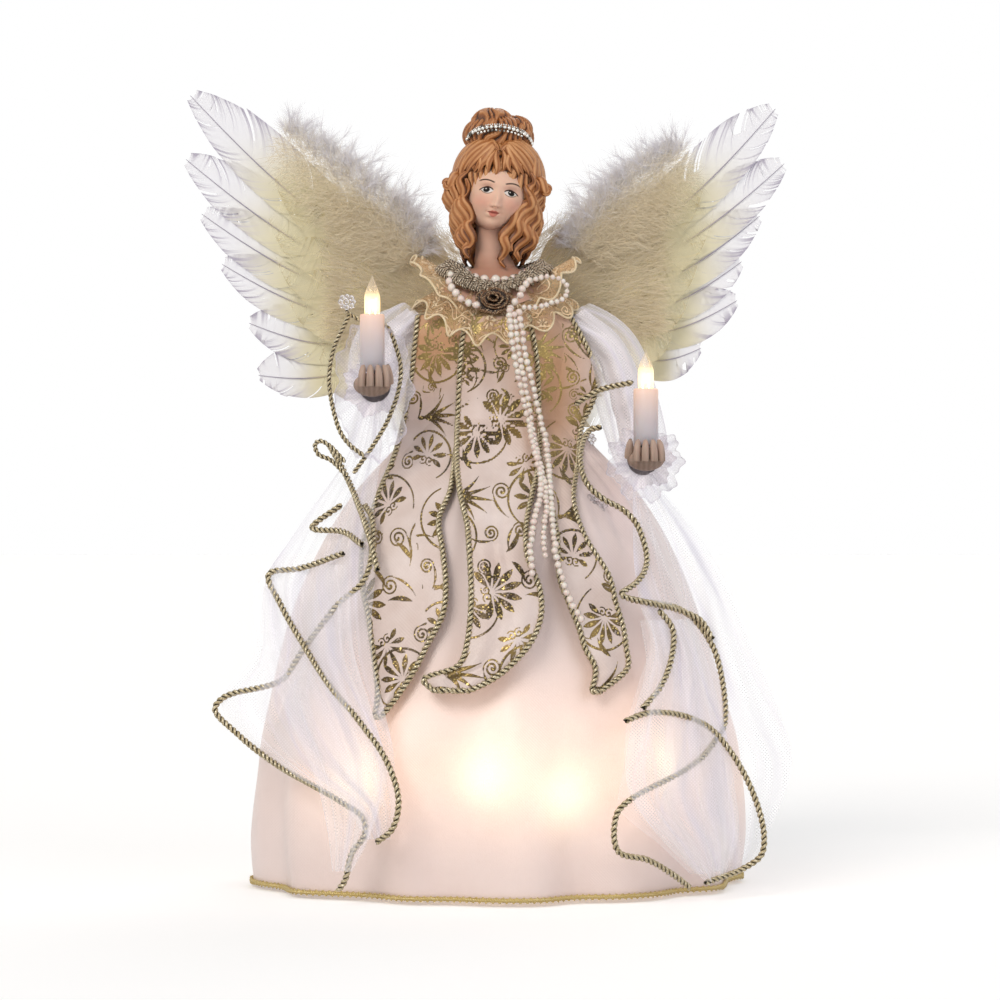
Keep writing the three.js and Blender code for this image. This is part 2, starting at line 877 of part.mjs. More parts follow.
function cordedPanel(rows, layer, ripple) {
  const first = edgeRoute(rows, 12, 0, layer, panelCloth);
  const second = edgeRoute(rows, 12, 1, layer, panelCloth);
  const route = [...first.reverse(), ...second];
  return joined([
    hangingCloth(rows, 12, 4, layer, panelCloth, ripple),
    cordAlong(route, panelCordRadius, 26, 4),
  ]);
}

const sideRipple = { depth: sideFoldDepth, count: 1 };
const centreRipple = { depth: centreFoldDepth, count: 2 };
const centreLayer = panelLayer + panelLayerStep;
const panels = {
  front_panel_left: [leftPanelRows, panelLayer, sideRipple],
  front_panel_centre: [centrePanelRows, centreLayer, centreRipple],
  front_panel_right: [rightPanelRows, panelLayer, sideRipple],
};
for (const [name, shape] of Object.entries(panels)) {
  addPiece(name, cordedPanel(...shape), finishes.brocade);
}

// Rosette at the throat: a wound ribbon, in ridges from rim to centre
function rosette() {
  const ridges = rosetteRidgeShares.map(([out, up]) => [out * rosetteRadius, up * rosetteThickness]);
  return turned([[0, 0], ...ridges], 12);
}

const throat = lacePoint(braidPlaceShare, -Math.PI / 2, 0);
const rosettePiece = addPiece("rosette", rosette(), finishes.cord);
rosettePiece.position.set(0, throat.y - rosetteStandOff, throat.z - rosetteDrop);
rosettePiece.rotation.x = rosetteTiltAngle;

// What a pearl rests on: the highest fold of the centre panel under it, or the cord at an edge.
const centreEdges = rowsAlong(centrePanelRows, 40);

function centreFront(x, z) {
  const nearer = (best, ends) => (Math.abs(ends[0].z - z) < Math.abs(best[0].z - z) ? ends : best);
  const [left, right] = centreEdges.reduce(nearer);
  const folds = [x - strandPearlRadius, x, x + strandPearlRadius].map((across) => {
    const share = THREE.MathUtils.clamp((across - left.x) / (right.x - left.x), 0, 1);
    return foldAt(centreRipple, share);
  });
  return robeFront(x, z, centreLayer) - Math.max(...folds, panelCordRadius);
}

// A strand lies on the folds of the centre panel, and stands off the more where the cloth slopes.
function strandRoute(rows) {
  const clear = strandPearlRadius + 2 * seatGap;
  const places = rows.map(([x, z, forward = 0]) => point(x, -forward, z));
  const flat = new THREE.CatmullRomCurve3(places, false, "centripetal");
  return evenLevels(2 * rows.length).map((share) => {
    const { x, y, z } = flat.getPoint(share);
    const slopeX = (centreFront(x + clear, z) - centreFront(x - clear, z)) / (2 * clear);
    const slopeZ = (centreFront(x, z + clear) - centreFront(x, z - clear)) / (2 * clear);
    return point(x, centreFront(x, z) - clear * Math.hypot(1, slopeX, slopeZ) + y, z);
  });
}

for (const [side, route] of Object.entries({ left: leftStrandRoute, right: rightStrandRoute })) {
  addPiece(`pearl_strand_${side}`, pearlsAlong(strandRoute(route), strandPearlRadius), finishes.pearl);
}

// Arms: pin and wire, satin sleeve, cuff, hand, candle with its socket and lamp
const palmDrop = seatGap + palmRadii[2];
const wireEnd = palmRadii[1] / 2;

function armRoute({ sign, candleFoot, bends }) {
  const [x, y, z] = candleFoot;
  return [
    point(sign * (shoulderPinReach - armWireRadius), 0, shoulderHeight),
    ...bends.map((bend) => point(...bend)),
    point(x, y + cuffSetBack + cuffLength + sleeveWristRadius, z - palmDrop),
    point(x, y + cuffSetBack + cuffLength, z - palmDrop),
    point(x, y + cuffSetBack, z - palmDrop),
    point(x, y + wireEnd, z - palmDrop),
  ];
}

function armWire(arm) {
  const pin = crossPin(
    shoulderPinRadius,
    arm.sign * shoulderPinInner,
    arm.sign * shoulderPinReach,
    0,
    shoulderHeight,
    16,
  );
  return joined([pin, rodAlong(armRoute(arm), armWireRadius, 18, 6)]);
}

function satinSleeve(arm) {
  const path = new THREE.CatmullRomCurve3(armRoute(arm));
  const cuffBack = arm.candleFoot[1] + cuffSetBack + cuffLength + seatGap;
  const pinEnd = shoulderPinReach + seatGap;
  const run = evenLevels(200).filter((share) => {
    const { x, y } = path.getPointAt(share);
    return Math.abs(x) > pinEnd && y > cuffBack;
  });
  const part = evenLevels(9).map((share) => path.getPointAt(lerp(run[0], run.at(-1), share)));
  const inner = sectionRings(part, false, 9, 8, () => [sleeveBore, sleeveBore]);
  const outer = sectionRings(part, false, 9, 8, (share) => {
    const radius = lerp(sleeveShoulderRadius, sleeveWristRadius, share);
    return [radius, radius];
  });
  return bodyOfRings([...outer, ...inner.reverse()], true);
}

// A cuff flares forwards round the wrist.
function cuff({ candleFoot: [x, y, z] }) {
  return shellOfLevels([0, 0.5, 1], 3 * cuffRuffleCount, (share, angle, inside) => {
    const ruffle = cuffRuffleDepth * share * Math.cos(cuffRuffleCount * angle);
    const radius = lerp(cuffNarrowRadius, cuffWideRadius, share) + ruffle - (inside ? cuffCloth : 0);
    const along = y + cuffSetBack + cuffLength * (1 - share);
    return point(x + radius * Math.cos(angle), along, z - palmDrop + radius * Math.sin(angle));
  });
}

function hand({ candleFoot: [x, y, z] }) {
  const palm = ball([x, y, z - palmDrop], palmRadii, 12, 6);
  const fingers = [-1, 0, 1].map((place) => {
    const turn = place * (fingerSpread / candleRadius);
    const reach = candleRadius + fingerRadii[0] + seatGap;
    const centre = [x + reach * Math.sin(turn), y - reach * Math.cos(turn), z];
    return ball(centre, fingerRadii, 6, 4);
  });
  const boreLength = palmRadii[1] + cutOverrun;
  const boreRadius = armWireRadius + seatGap;
  const wristBore = new THREE.CylinderGeometry(boreRadius, boreRadius, boreLength, 10);
  wristBore.translate(x, y + wireEnd - seatGap + boreLength / 2, z - palmDrop);
  return cut(joined([palm, ...fingers]), [wristBore]);
}

const candleBore = candleRadius - candleWall;

function candleTube() {
  return turned(
    [
      [candleBore, 0],
      [candleRadius, 0],
      [candleRadius, candleHeight],
      [candleBore, candleHeight],
      [candleBore, 0],
    ],
    16,
  );
}

for (const arm of arms) {
  const at = point(...arm.candleFoot);
  addPiece(`arm_wire_${arm.side}`, armWire(arm), finishes.steel);
  addPiece(`satin_sleeve_${arm.side}`, satinSleeve(arm), finishes.satin);
  addPiece(`cuff_${arm.side}`, cuff(arm), finishes.satin);
  addPiece(`hand_${arm.side}`, hand(arm), finishes.skin);
  const candle = new THREE.Group();
  candle.position.copy(at);
  topper.add(candle);
  addPiece(`candle_tube_${arm.side}`, candleTube(), finishes.candle, candle);
  const socketHeight = candleHeight - candleWall;
  const holder = socket(candleBore - seatGap, socketHeight);
  addPiece(`candle_socket_${arm.side}`, holder, finishes.wire, candle);
  const bulb = addPiece(`candle_bulb_${arm.side}`, lamp(), finishes.glass, candle);
  bulb.position.z = socketHeight - lampBaseLength;
}

// Organza drapes with a twisted cord along each
const drapeRows = { left: leftDrapeRows, right: rightDrapeRows };

// The gathered top of a drape, close under its sleeve, behind the cuff.
function gatheredRow({ sign, candleFoot: [x, y, z] }) {
  const height = z - palmDrop - sleeveWristRadius - seatGap;
  const depth = y + cuffSetBack + cuffLength + sleeveWristRadius / 2;
  const half = sleeveWristRadius / 2;
  return [height, x + sign * half, x - sign * half, robeFront(x, height, organzaLayer) - depth];
}

for (const arm of arms) {
  const { side } = arm;
  const rows = [...drapeRows[side], gatheredRow(arm)];
  const ripple = { depth: organzaRipple, count: organzaRippleCount };
  const drape = hangingCloth(rows, 14, 8, organzaLayer, organzaCloth, ripple);
  addPiece(`organza_drape_${side}`, drape, finishes.organza);
  const off = organzaCordRadius + organzaCloth / 2 + 4 * seatGap;
  const down = edgeRoute(rows, 16, 0, organzaLayer, organzaCloth).map((p) => point(p.x, p.y - off, p.z));
  addPiece(`organza_cord_${side}`, cordAlong(down, organzaCordRadius, 32, 4), finishes.cord);
}

// Wings: a bracket on the back with two upright pins, a card on each, six feathers and fluff
const bodiceBack = torsoHalfWidth * torsoDepthShare + seatGap + bodiceCloth;
const bracketFront = bodiceBack + seatGap;
const hingeDepth = bracketFront + bracketThickness + bracketStandOff;
const knuckleRadius = hingePinRadius + seatGap + hingeWall;
const bracketBase = lerp(torsoBaseHeight, torsoTopHeight, torsoOutlineShares[2][0]) - bracketHeight / 2;
const bracketTop = bracketBase + bracketHeight;

function wingOf(side, sign, root, tips, fluffRows) {
  const placed = ([out, up, ...rest]) => [sign * (hingeOffset + out), bracketTop + up, ...rest];
  return { side, sign, root: placed(root), tips: tips.map(placed), fluffRows: fluffRows.map(placed) };
}

const wings = [
  wingOf("left", -1, leftFeatherRoot, leftFeatherTips, leftFluffRoute),
  wingOf("right", 1, rightFeatherRoot, rightFeatherTips, rightFluffRoute),
];
const knuckleBase = bracketBase + bracketEar + seatGap;
const knuckleTop = bracketTop - bracketEar - seatGap;

function wingBracket() {
  const halfWidth = hingeOffset + knuckleRadius;
  const earReach = 2 * hingePinRadius;
  const plate = block(
    [-halfWidth, bracketFront, bracketBase],
    [halfWidth, bracketFront + bracketThickness, bracketTop],
  );
  const pieces = [-1, 1].flatMap((sign) => {
    const x = sign * hingeOffset;
    const ear = (low) =>
      block(
        [x - earReach, bracketFront, low],
        [x + earReach, hingeDepth + earReach, low + bracketEar],
      );
    const inset = bracketEar / 2;
    const pin = uprightPin(hingePinRadius, x, hingeDepth, bracketBase + inset, bracketTop - inset, 12);
    return [ear(bracketBase), ear(bracketTop - bracketEar), pin];
  });
  return joined([plate, ...pieces]);
}

function wingCard({ sign, root, tips }) {
  const between = (tip, [across, up]) => [lerp(root[0], tip[0], across), lerp(root[1], tip[1], up)];
  const inner = sign * (hingeOffset + knuckleRadius - hingeWall);
  const outer = sign * (hingeOffset + knuckleRadius + hingeWall);
  const corners = [
    [inner, knuckleBase],
    [outer, knuckleBase],
    between(tips.at(-1), cardReachShares.low),
    between(tips.at(-1), cardReachShares.lowOuter),
    between(tips[0], cardReachShares.highOuter),
    between(tips[0], cardReachShares.high),
    [outer, knuckleTop],
    [inner, knuckleTop],
  ];
  const outline = new THREE.Shape(corners.map((corner) => new THREE.Vector2(...corner)));
  const card = new THREE.ExtrudeGeometry(outline, { depth: cardThickness, bevelEnabled: false });
  card.rotateX(Math.PI / 2).translate(0, hingeDepth + cardThickness / 2, 0);
  const knuckle = uprightPin(knuckleRadius, sign * hingeOffset, hingeDepth, knuckleBase, knuckleTop, 16);
  const bore = uprightPin(
    hingePinRadius + seatGap,
    sign * hingeOffset,
    hingeDepth,
    knuckleBase - cutOverrun,
    knuckleTop + cutOverrun,
    16,
  );
  return cut(joined([card, knuckle]), [bore]);
}

// A feather lies along its own X axis, bowed upwards, its thickness along Z.
function feather(length, sign) {
  const edge = (side) =>
    featherOutlineShares.map(([along, width]) => {
      const bow = sign * featherBow * Math.sin(Math.PI * along);
      return new THREE.Vector2(length * along, bow + (side * width * featherWidth) / 2);
    });
  const outline = new THREE.Shape([...edge(-1), ...edge(1).reverse()]);
  return new THREE.ExtrudeGeometry(outline, { depth: featherThickness, bevelEnabled: false });
}

function fluff(rows, depth) {
  const points = rows.map(([x, z]) => point(x, depth, z));
  const path = new THREE.CatmullRomCurve3(points);
  const steps = 8;
  const rings = evenLevels(steps).map((share) => {
    const centre = path.getPoint(share);
    const along = path.getTangent(share);
    const across = point(-along.z, 0, along.x);
    const radius = lookUp(rows.map((row, index) => [index / (rows.length - 1), row[2]]), share);
    const reach = share % 1 ? radius : radius / 2;
    return Array.from({ length: 10 }, (_, side) => {
      const angle = (side / 10) * 2 * Math.PI;
      return centre
        .clone()
        .addScaledVector(across, reach * Math.cos(angle))
        .add(point(0, -reach * fluffDepthShare * Math.sin(angle), 0));
    });
  });
  return bodyOfRings(rings, false);
}

addPiece("wing_bracket", wingBracket(), finishes.steel);
for (const wing of wings) {
  const { side, sign, root, tips, fluffRows } = wing;
  addPiece(`wing_card_${side}`, wingCard(wing), finishes.lace);
  tips.forEach(([tipX, tipZ], index) => {
    const rootX = root[0] + sign * featherRootStep[0] * index;
    const rootZ = root[1] + featherRootStep[1] * index;
    const length = Math.hypot(tipX - rootX, tipZ - rootZ);
    const name = `wing_feather_${side}_${index + 1}`;
    const mesh = addPiece(name, feather(length, sign), finishes.feather);
    const layer = cardThickness / 2 + seatGap + index * (featherThickness + seatGap);
    mesh.position.set(rootX, hingeDepth + layer + featherThickness, rootZ);
    mesh.rotation.set(Math.PI / 2, -Math.atan2(tipZ - rootZ, tipX - rootX), 0, "YXZ");
  });
  const widest = Math.max(...fluffRows.map((row) => row[2]));
  const fluffDepth = hingeDepth - cardThickness / 2 - seatGap - widest * fluffDepthShare;
  addPiece(`marabou_${side}`, fluff(fluffRows, fluffDepth), finishes.fluff);
}

export default topper;
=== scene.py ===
"""Angel tree topper: the finished surfaces of each piece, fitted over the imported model."""
import logging
import math
from dataclasses import dataclass, field
from enum import Enum
from typing import Callable, Sequence

import bpy
import numpy as np
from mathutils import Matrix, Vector


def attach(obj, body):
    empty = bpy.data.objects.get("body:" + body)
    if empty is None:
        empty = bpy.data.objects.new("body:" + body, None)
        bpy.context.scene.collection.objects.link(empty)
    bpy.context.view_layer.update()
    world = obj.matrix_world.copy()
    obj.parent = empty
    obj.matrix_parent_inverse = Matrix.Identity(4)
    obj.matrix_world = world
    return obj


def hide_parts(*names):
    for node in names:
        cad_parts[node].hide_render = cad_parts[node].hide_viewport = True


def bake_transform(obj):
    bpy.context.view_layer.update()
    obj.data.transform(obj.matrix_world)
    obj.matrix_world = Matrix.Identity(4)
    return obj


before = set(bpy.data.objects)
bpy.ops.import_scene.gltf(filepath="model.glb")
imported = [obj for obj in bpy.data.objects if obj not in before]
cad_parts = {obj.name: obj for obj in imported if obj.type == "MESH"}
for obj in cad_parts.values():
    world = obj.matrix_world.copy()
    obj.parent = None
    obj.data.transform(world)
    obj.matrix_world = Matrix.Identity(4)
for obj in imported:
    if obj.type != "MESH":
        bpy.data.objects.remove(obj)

log = logging.getLogger("topper")

Array = np.ndarray
MM = 0.001
TURN = 2 * math.pi
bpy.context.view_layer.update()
CAMERA_AWAY = 1500
FRAME_CENTRE = 500
FRAME_AIM = (2.1, 160)
PIXEL = 0.42
SEAT_HEIGHT = 243.3


class Side(Enum):
    """Which side of the figure a piece is on, seen from the front."""

    LEFT = -1
    RIGHT = 1

    @property
    def word(self) -> str:
        """The side's name, as the nodes and bodies have it."""
        return self.name.lower()


# Numbers, curves and frames


def colour(code: str) -> tuple[float, float, float, float]:
    """A colour written as six hex digits, as linear values.

    Args:
        code: the six digits, such as "f1e3dc".

    Returns:
        Red, green, blue and alpha.
    """
    parts = [int(code[i : i + 2], 16) / 255 for i in (0, 2, 4)]
    linear = [c / 12.92 if c <= 0.04045 else ((c + 0.055) / 1.055) ** 2.4 for c in parts]
    return (linear[0], linear[1], linear[2], 1.0)


def flow(table: Sequence[tuple[float, float]], places: Array) -> Array:
    """Values of a table at some places, on a smooth curve that never overshoots.

    Args:
        table: rising (place, value) pairs.
        places: where to read it.

    Returns:
        One value for each place.
    """
    xs, ys = np.array(table, float).T
    slope = np.diff(ys) / np.diff(xs)
    inner = np.where(
        slope[:-1] * slope[1:] > 0, 2 * slope[:-1] * slope[1:] / (slope[:-1] + slope[1:] + 1e-12), 0
    )
    tangent = np.concatenate([[slope[0]], inner, [slope[-1]]])
    x = np.clip(np.asarray(places, float), xs[0], xs[-1])
    i = np.clip(np.searchsorted(xs, x) - 1, 0, len(xs) - 2)
    h = xs[i + 1] - xs[i]
    t = (x - xs[i]) / h
    return (
        (2 * t**3 - 3 * t**2 + 1) * ys[i]
        + (t**3 - 2 * t**2 + t) * h * tangent[i]
        + (3 * t**2 - 2 * t**3) * ys[i + 1]
        + (t**3 - t**2) * h * tangent[i + 1]
    )


def spline(points: Sequence[Sequence[float]], count: int, closed: bool = False) -> Array:
    """Points on a smooth curve through some points, in even steps of the points' own count.

    Args:
        points: the points it goes through.
        count: how many points to give.
        closed: whether it joins its end to its start.

    Returns:
        A count by 3 array.
    """
    given = np.array(points, float)
    if closed:
        padded = np.vstack([given[-1], given, given[0], given[1]])
        spans = len(given)
        place = np.linspace(0, spans, count, endpoint=False)
    else:
        padded = np.vstack([2 * given[0] - given[1], given, 2 * given[-1] - given[-2]])
        spans = len(given) - 1
        place = np.linspace(0, spans, count)
    i = np.minimum(place.astype(int), spans - 1)
    t = (place - i)[:, None]
    p0, p1, p2, p3 = padded[i], padded[i + 1], padded[i + 2], padded[i + 3]
    step = [
        np.sqrt(np.maximum(np.linalg.norm(b - a, axis=1), 1e-6))[:, None]
        for a, b in ((p0, p1), (p1, p2), (p2, p3))
    ]
    m1 = ((p1 - p0) / step[0] - (p2 - p0) / (step[0] + step[1]) + (p2 - p1) / step[1]) * step[1]
    m2 = ((p2 - p1) / step[1] - (p3 - p1) / (step[1] + step[2]) + (p3 - p2) / step[2]) * step[1]
    return p1 + m1 * t + (3 * (p2 - p1) - 2 * m1 - m2) * t**2 + (2 * (p1 - p2) + m1 + m2) * t**3


def evened(path: Array, spacing: float) -> Array:
    """A path's points again, the same distance apart along it.

    Args:
        path: the points.
        spacing: the distance, in the path's own unit.

    Returns:
        The new points, the first and last kept.
    """
    gone = np.concatenate([[0], np.cumsum(np.linalg.norm(np.diff(path, axis=0), axis=1))])
    count = max(4, int(round(gone[-1] / spacing)) + 1)
    want = np.linspace(0, gone[-1], count)
    return np.stack([np.interp(want, gone, path[:, axis]) for axis in range(3)], axis=1)


def frames_along(path: Array) -> tuple[Array, Array, Array]:
    """Axes that follow a path without twisting.

    Args:
        path: its points.

    Returns:
        The tangents, and two arrays of unit vectors across the path.
    """
    tangent = np.gradient(path, axis=0)
    tangent /= np.linalg.norm(tangent, axis=1, keepdims=True) + 1e-12
    first = np.cross(tangent[0], (0, 0, 1.0) if abs(tangent[0][2]) < 0.9 else (0, 1.0, 0))
    across = [first / np.linalg.norm(first)]
    for t in tangent[1:]:
        side = across[-1] - t * np.dot(across[-1], t)
        across.append(side / (np.linalg.norm(side) + 1e-12))
    side = np.array(across)
    return tangent, side, np.cross(tangent, side)


def stepped(low: float, high: float, values: Array) -> Array:
    """A soft step from 0 at low to 1 at high."""
    t = np.clip((values - low) / (high - low), 0, 1)
    return t * t * (3 - 2 * t)


def bump(x: Array, z: Array, at: tuple[float, float], spread: tuple[float, float]) -> Array:
    """A smooth hill of height 1 at a place, with its own spread each way."""
    return np.exp(-(((x - at[0]) / spread[0]) ** 2) - ((z - at[1]) / spread[1]) ** 2)


def jitter(seed: int) -> np.random.Generator:
    """A source of chance that gives the same numbers on each run."""
    return np.random.default_rng(seed)


# Meshes, in millimetres


@dataclass
class Mesh:
    """Points and faces of a piece while it is being made, with values at each point."""

    points: Array
    faces: list[Array]
    values: dict[str, Array] = field(default_factory=dict)

    def moved(self, by: Sequence[float]) -> "Mesh":
        """The same mesh, shifted."""
        return Mesh(self.points + np.array(by, float), self.faces, self.values)

    def turned(self, angle: float, axis: str, about: Sequence[float] = (0, 0, 0)) -> "Mesh":
        """The same mesh, turned by an angle about an axis through a point."""
        c, s = math.cos(angle), math.sin(angle)
        matrix = {
            "X": [[1, 0, 0], [0, c, -s], [0, s, c]],
            "Y": [[c, 0, s], [0, 1, 0], [-s, 0, c]],
            "Z": [[c, -s, 0], [s, c, 0], [0, 0, 1]],
        }[axis]
        centre = np.array(about, float)
        return Mesh((self.points - centre) @ np.array(matrix).T + centre, self.faces, self.values)


def together(meshes: Sequence[Mesh]) -> Mesh:
    """Several meshes as one.

    Args:
        meshes: the meshes, with the same named values on each.

    Returns:
        One mesh that holds them all.
    """
    start = np.cumsum([0] + [len(m.points) for m in meshes])
    faces = [f + first for m, first in zip(meshes, start) for f in m.faces]
    names = meshes[0].values.keys()
    values = {name: np.concatenate([m.values[name] for m in meshes]) for name in names}
    return Mesh(np.vstack([m.points for m in meshes]), faces, values)


def grid(points: Array, loop_u: bool = False, loop_v: bool = False) -> Mesh:
    """A sheet of quads over a rows by columns by 3 array of points.

    Args:
        points: the array.
        loop_u: whether the last row joins the first.
        loop_v: whether the last column joins the first.

    Returns:
        The mesh, its points in the array's order.
    """
    rows, columns = points.shape[:2]
    u = np.arange(rows if loop_u else rows - 1)
    v = np.arange(columns if loop_v else columns - 1)
    a = (u[:, None] * columns + v[None, :]).ravel()
    b = (u[:, None] * columns + (v[None, :] + 1) % columns).ravel()
    c = (((u[:, None] + 1) % rows) * columns + (v[None, :] + 1) % columns).ravel()
    d = (((u[:, None] + 1) % rows) * columns + v[None, :]).ravel()
    return Mesh(points.reshape(-1, 3), [np.stack([a, b, c, d], axis=1)])


def tube(path: Array, radius: Array | float, sides: int, flat: float = 1.0, closed: bool = False) -> Mesh:
    """A round or flattened tube along a path.

    Args:
        path: its centre line.
        radius: its radius, one for all or one for each point.
        sides: points round the section.
        flat: the second reach of the section as a share of the first.
        closed: whether the path joins its end to its start.

    Returns:
        The mesh, with round ends where the radius falls to nothing.
    """
    _, side, up = frames_along(path)
    reach = np.broadcast_to(np.asarray(radius, float), (len(path),))[:, None, None]
    angle = np.linspace(0, TURN, sides, endpoint=False)
    ring = (
        side[:, None, :] * np.cos(angle)[None, :, None]
        + flat * up[:, None, :] * np.sin(angle)[None, :, None]
    )
    return grid(path[:, None, :] + reach * ring, loop_u=closed, loop_v=True)


def twisted(path: Array, radius: float, pitch: float, plies: int = 3, closed: bool = False) -> Mesh:
    """A twisted cord along a path: plies that wind round each other.

    Args:
        path: the centre line, its points any distance apart.
        radius: the cord's outer radius.
        pitch: the length of one full turn.
        plies: how many plies.
        closed: whether the path joins its end to its start.

    Returns:
        The mesh, with "crest" 0 in the grooves and 1 on the plies' backs.
    """
    line = evened(np.vstack([path, path[:1]]) if closed else path, pitch / 8)
    _, side, up = frames_along(line)
    gone = np.arange(len(line)) * (pitch / 8)
    meshes = []
    for ply in range(plies):
        turn = TURN * (gone / pitch + ply / plies)
        out = side * np.cos(turn)[:, None] + up * np.sin(turn)[:, None]
        mesh = tube(line + out * radius * 0.5, radius * 0.56, 6)
        away = mesh.points.reshape(len(line), 6, 3) - line[:, None, :]
        mesh.values["crest"] = np.clip(np.linalg.norm(away, axis=2) / radius - 0.1, 0, 1).ravel()
        meshes.append(mesh)
    return together(meshes)


def beads(centres: Array, radii: Array | float, across: int = 12, up: int = 8) -> Mesh:
    """Round beads at some places, each a little uneven.

    Args:
        centres: their places.
        radii: their radius, one for all or one each.
        across: points round each bead.
        up: rows of points on each bead.

    Returns:
        One mesh of all the beads, with "shade" different on each.
    """
    theta = np.linspace(0, TURN, across, endpoint=False)
    phi = np.linspace(-math.pi / 2, math.pi / 2, up)
    unit = np.stack(
        [
            np.cos(phi)[:, None] * np.cos(theta), np.cos(phi)[:, None] * np.sin(theta),
            np.repeat(np.sin(phi)[:, None], across, 1)
        ],
        axis=2,
    )
    one = grid(unit, loop_v=True)
    size = np.broadcast_to(np.asarray(radii, float), (len(centres),))
    chance = jitter(len(centres))
    meshes = []
    for centre, radius in zip(centres, size):
        squash = 1 + 0.06 * chance.standard_normal(3)
        shade = np.full(len(one.points), chance.random())
        meshes.append(Mesh(one.points * squash * radius + centre, one.faces, {"shade": shade}))
    return together(meshes)


def lathe(profile: Sequence[tuple[float, float]], sides: int) -> Mesh:
    """A body turned round the Z axis from (radius, height) pairs."""
    rows = np.array(profile, float)
    angle = np.linspace(0, TURN, sides, endpoint=False)
    ring = np.stack([np.cos(angle), np.sin(angle), np.zeros(sides)], axis=1)
    points = rows[:, 0][:, None, None] * ring[None] + np.array([0, 0, 1.0]) * rows[:, 1][:, None, None]
    return grid(points, loop_v=True)


def as_object(name: str, mesh: Mesh, material: bpy.types.Material, thick: float = 0.0) -> bpy.types.Object:
    """Makes a Blender object of a mesh.

    Args:
        name: the piece's name.
        mesh: the mesh, in millimetres.
        material: its finish.
        thick: a thickness to give an open sheet, in millimetres.

    Returns:
        The object, smooth shaded, in metres.
    """
    data = bpy.data.meshes.new(name)
    faces = np.concatenate([f.reshape(-1) for f in mesh.faces])
    sizes = np.concatenate([np.full(len(f), f.shape[1]) for f in mesh.faces])
    data.vertices.add(len(mesh.points))
    data.vertices.foreach_set("co", (mesh.points * MM).astype(np.float32).ravel())
    data.loops.add(len(faces))
    data.loops.foreach_set("vertex_index", faces.astype(np.int32))
    data.polygons.add(len(sizes))
    data.polygons.foreach_set("loop_start", (np.cumsum(sizes) - sizes).astype(np.int32))
    data.polygons.foreach_set("use_smooth", np.ones(len(sizes), dtype=bool))
    for key, value in mesh.values.items():
        if value.ndim == 1:
            data.attributes.new(key, "FLOAT", "POINT").data.foreach_set("value", value.astype(np.float32))
        else:
            rgba = np.hstack([value, np.ones((len(value), 1))]).astype(np.float32)
            data.attributes.new(key, "FLOAT_COLOR", "POINT").data.foreach_set("color", rgba.ravel())
    data.update(calc_edges=True)
    data.validate()
    data.materials.append(material)
    obj = bpy.data.objects.new(name, data)
    bpy.context.scene.collection.objects.link(obj)
    if thick:
        solid = obj.modifiers.new("thickness", "SOLIDIFY")
        solid.thickness = thick * MM
        solid.offset = 0
    log.info("%s: %d points, %d faces", name, len(mesh.points), len(sizes))
    return obj


def placed(obj: bpy.types.Object, body: str, nodes: Sequence[str] = ()) -> bpy.types.Object:
    """Puts a piece on its body and hides the solids that it stands for.

    Args:
        obj: the piece.
        body: the body that it rides on.
        nodes: the CAD nodes that it replaces.

    Returns:
        The same piece.
    """
    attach(obj, body)
    if nodes:
        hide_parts(*nodes)
    return obj


# Shader nodes


def put(
    name: str, mesh: Mesh, material: bpy.types.Material, body: str, nodes: Sequence[str] = ()
) -> bpy.types.Object:
    """Makes an object and puts it on its body.

    Args:
        name: the object's name.
        mesh: its points and faces, in millimetres.
        material: its material.
        body: the body that it rides on.
        nodes: the CAD nodes that it replaces.

    Returns:
        The object.
    """
    return placed(as_object(name, mesh, material), body, nodes)



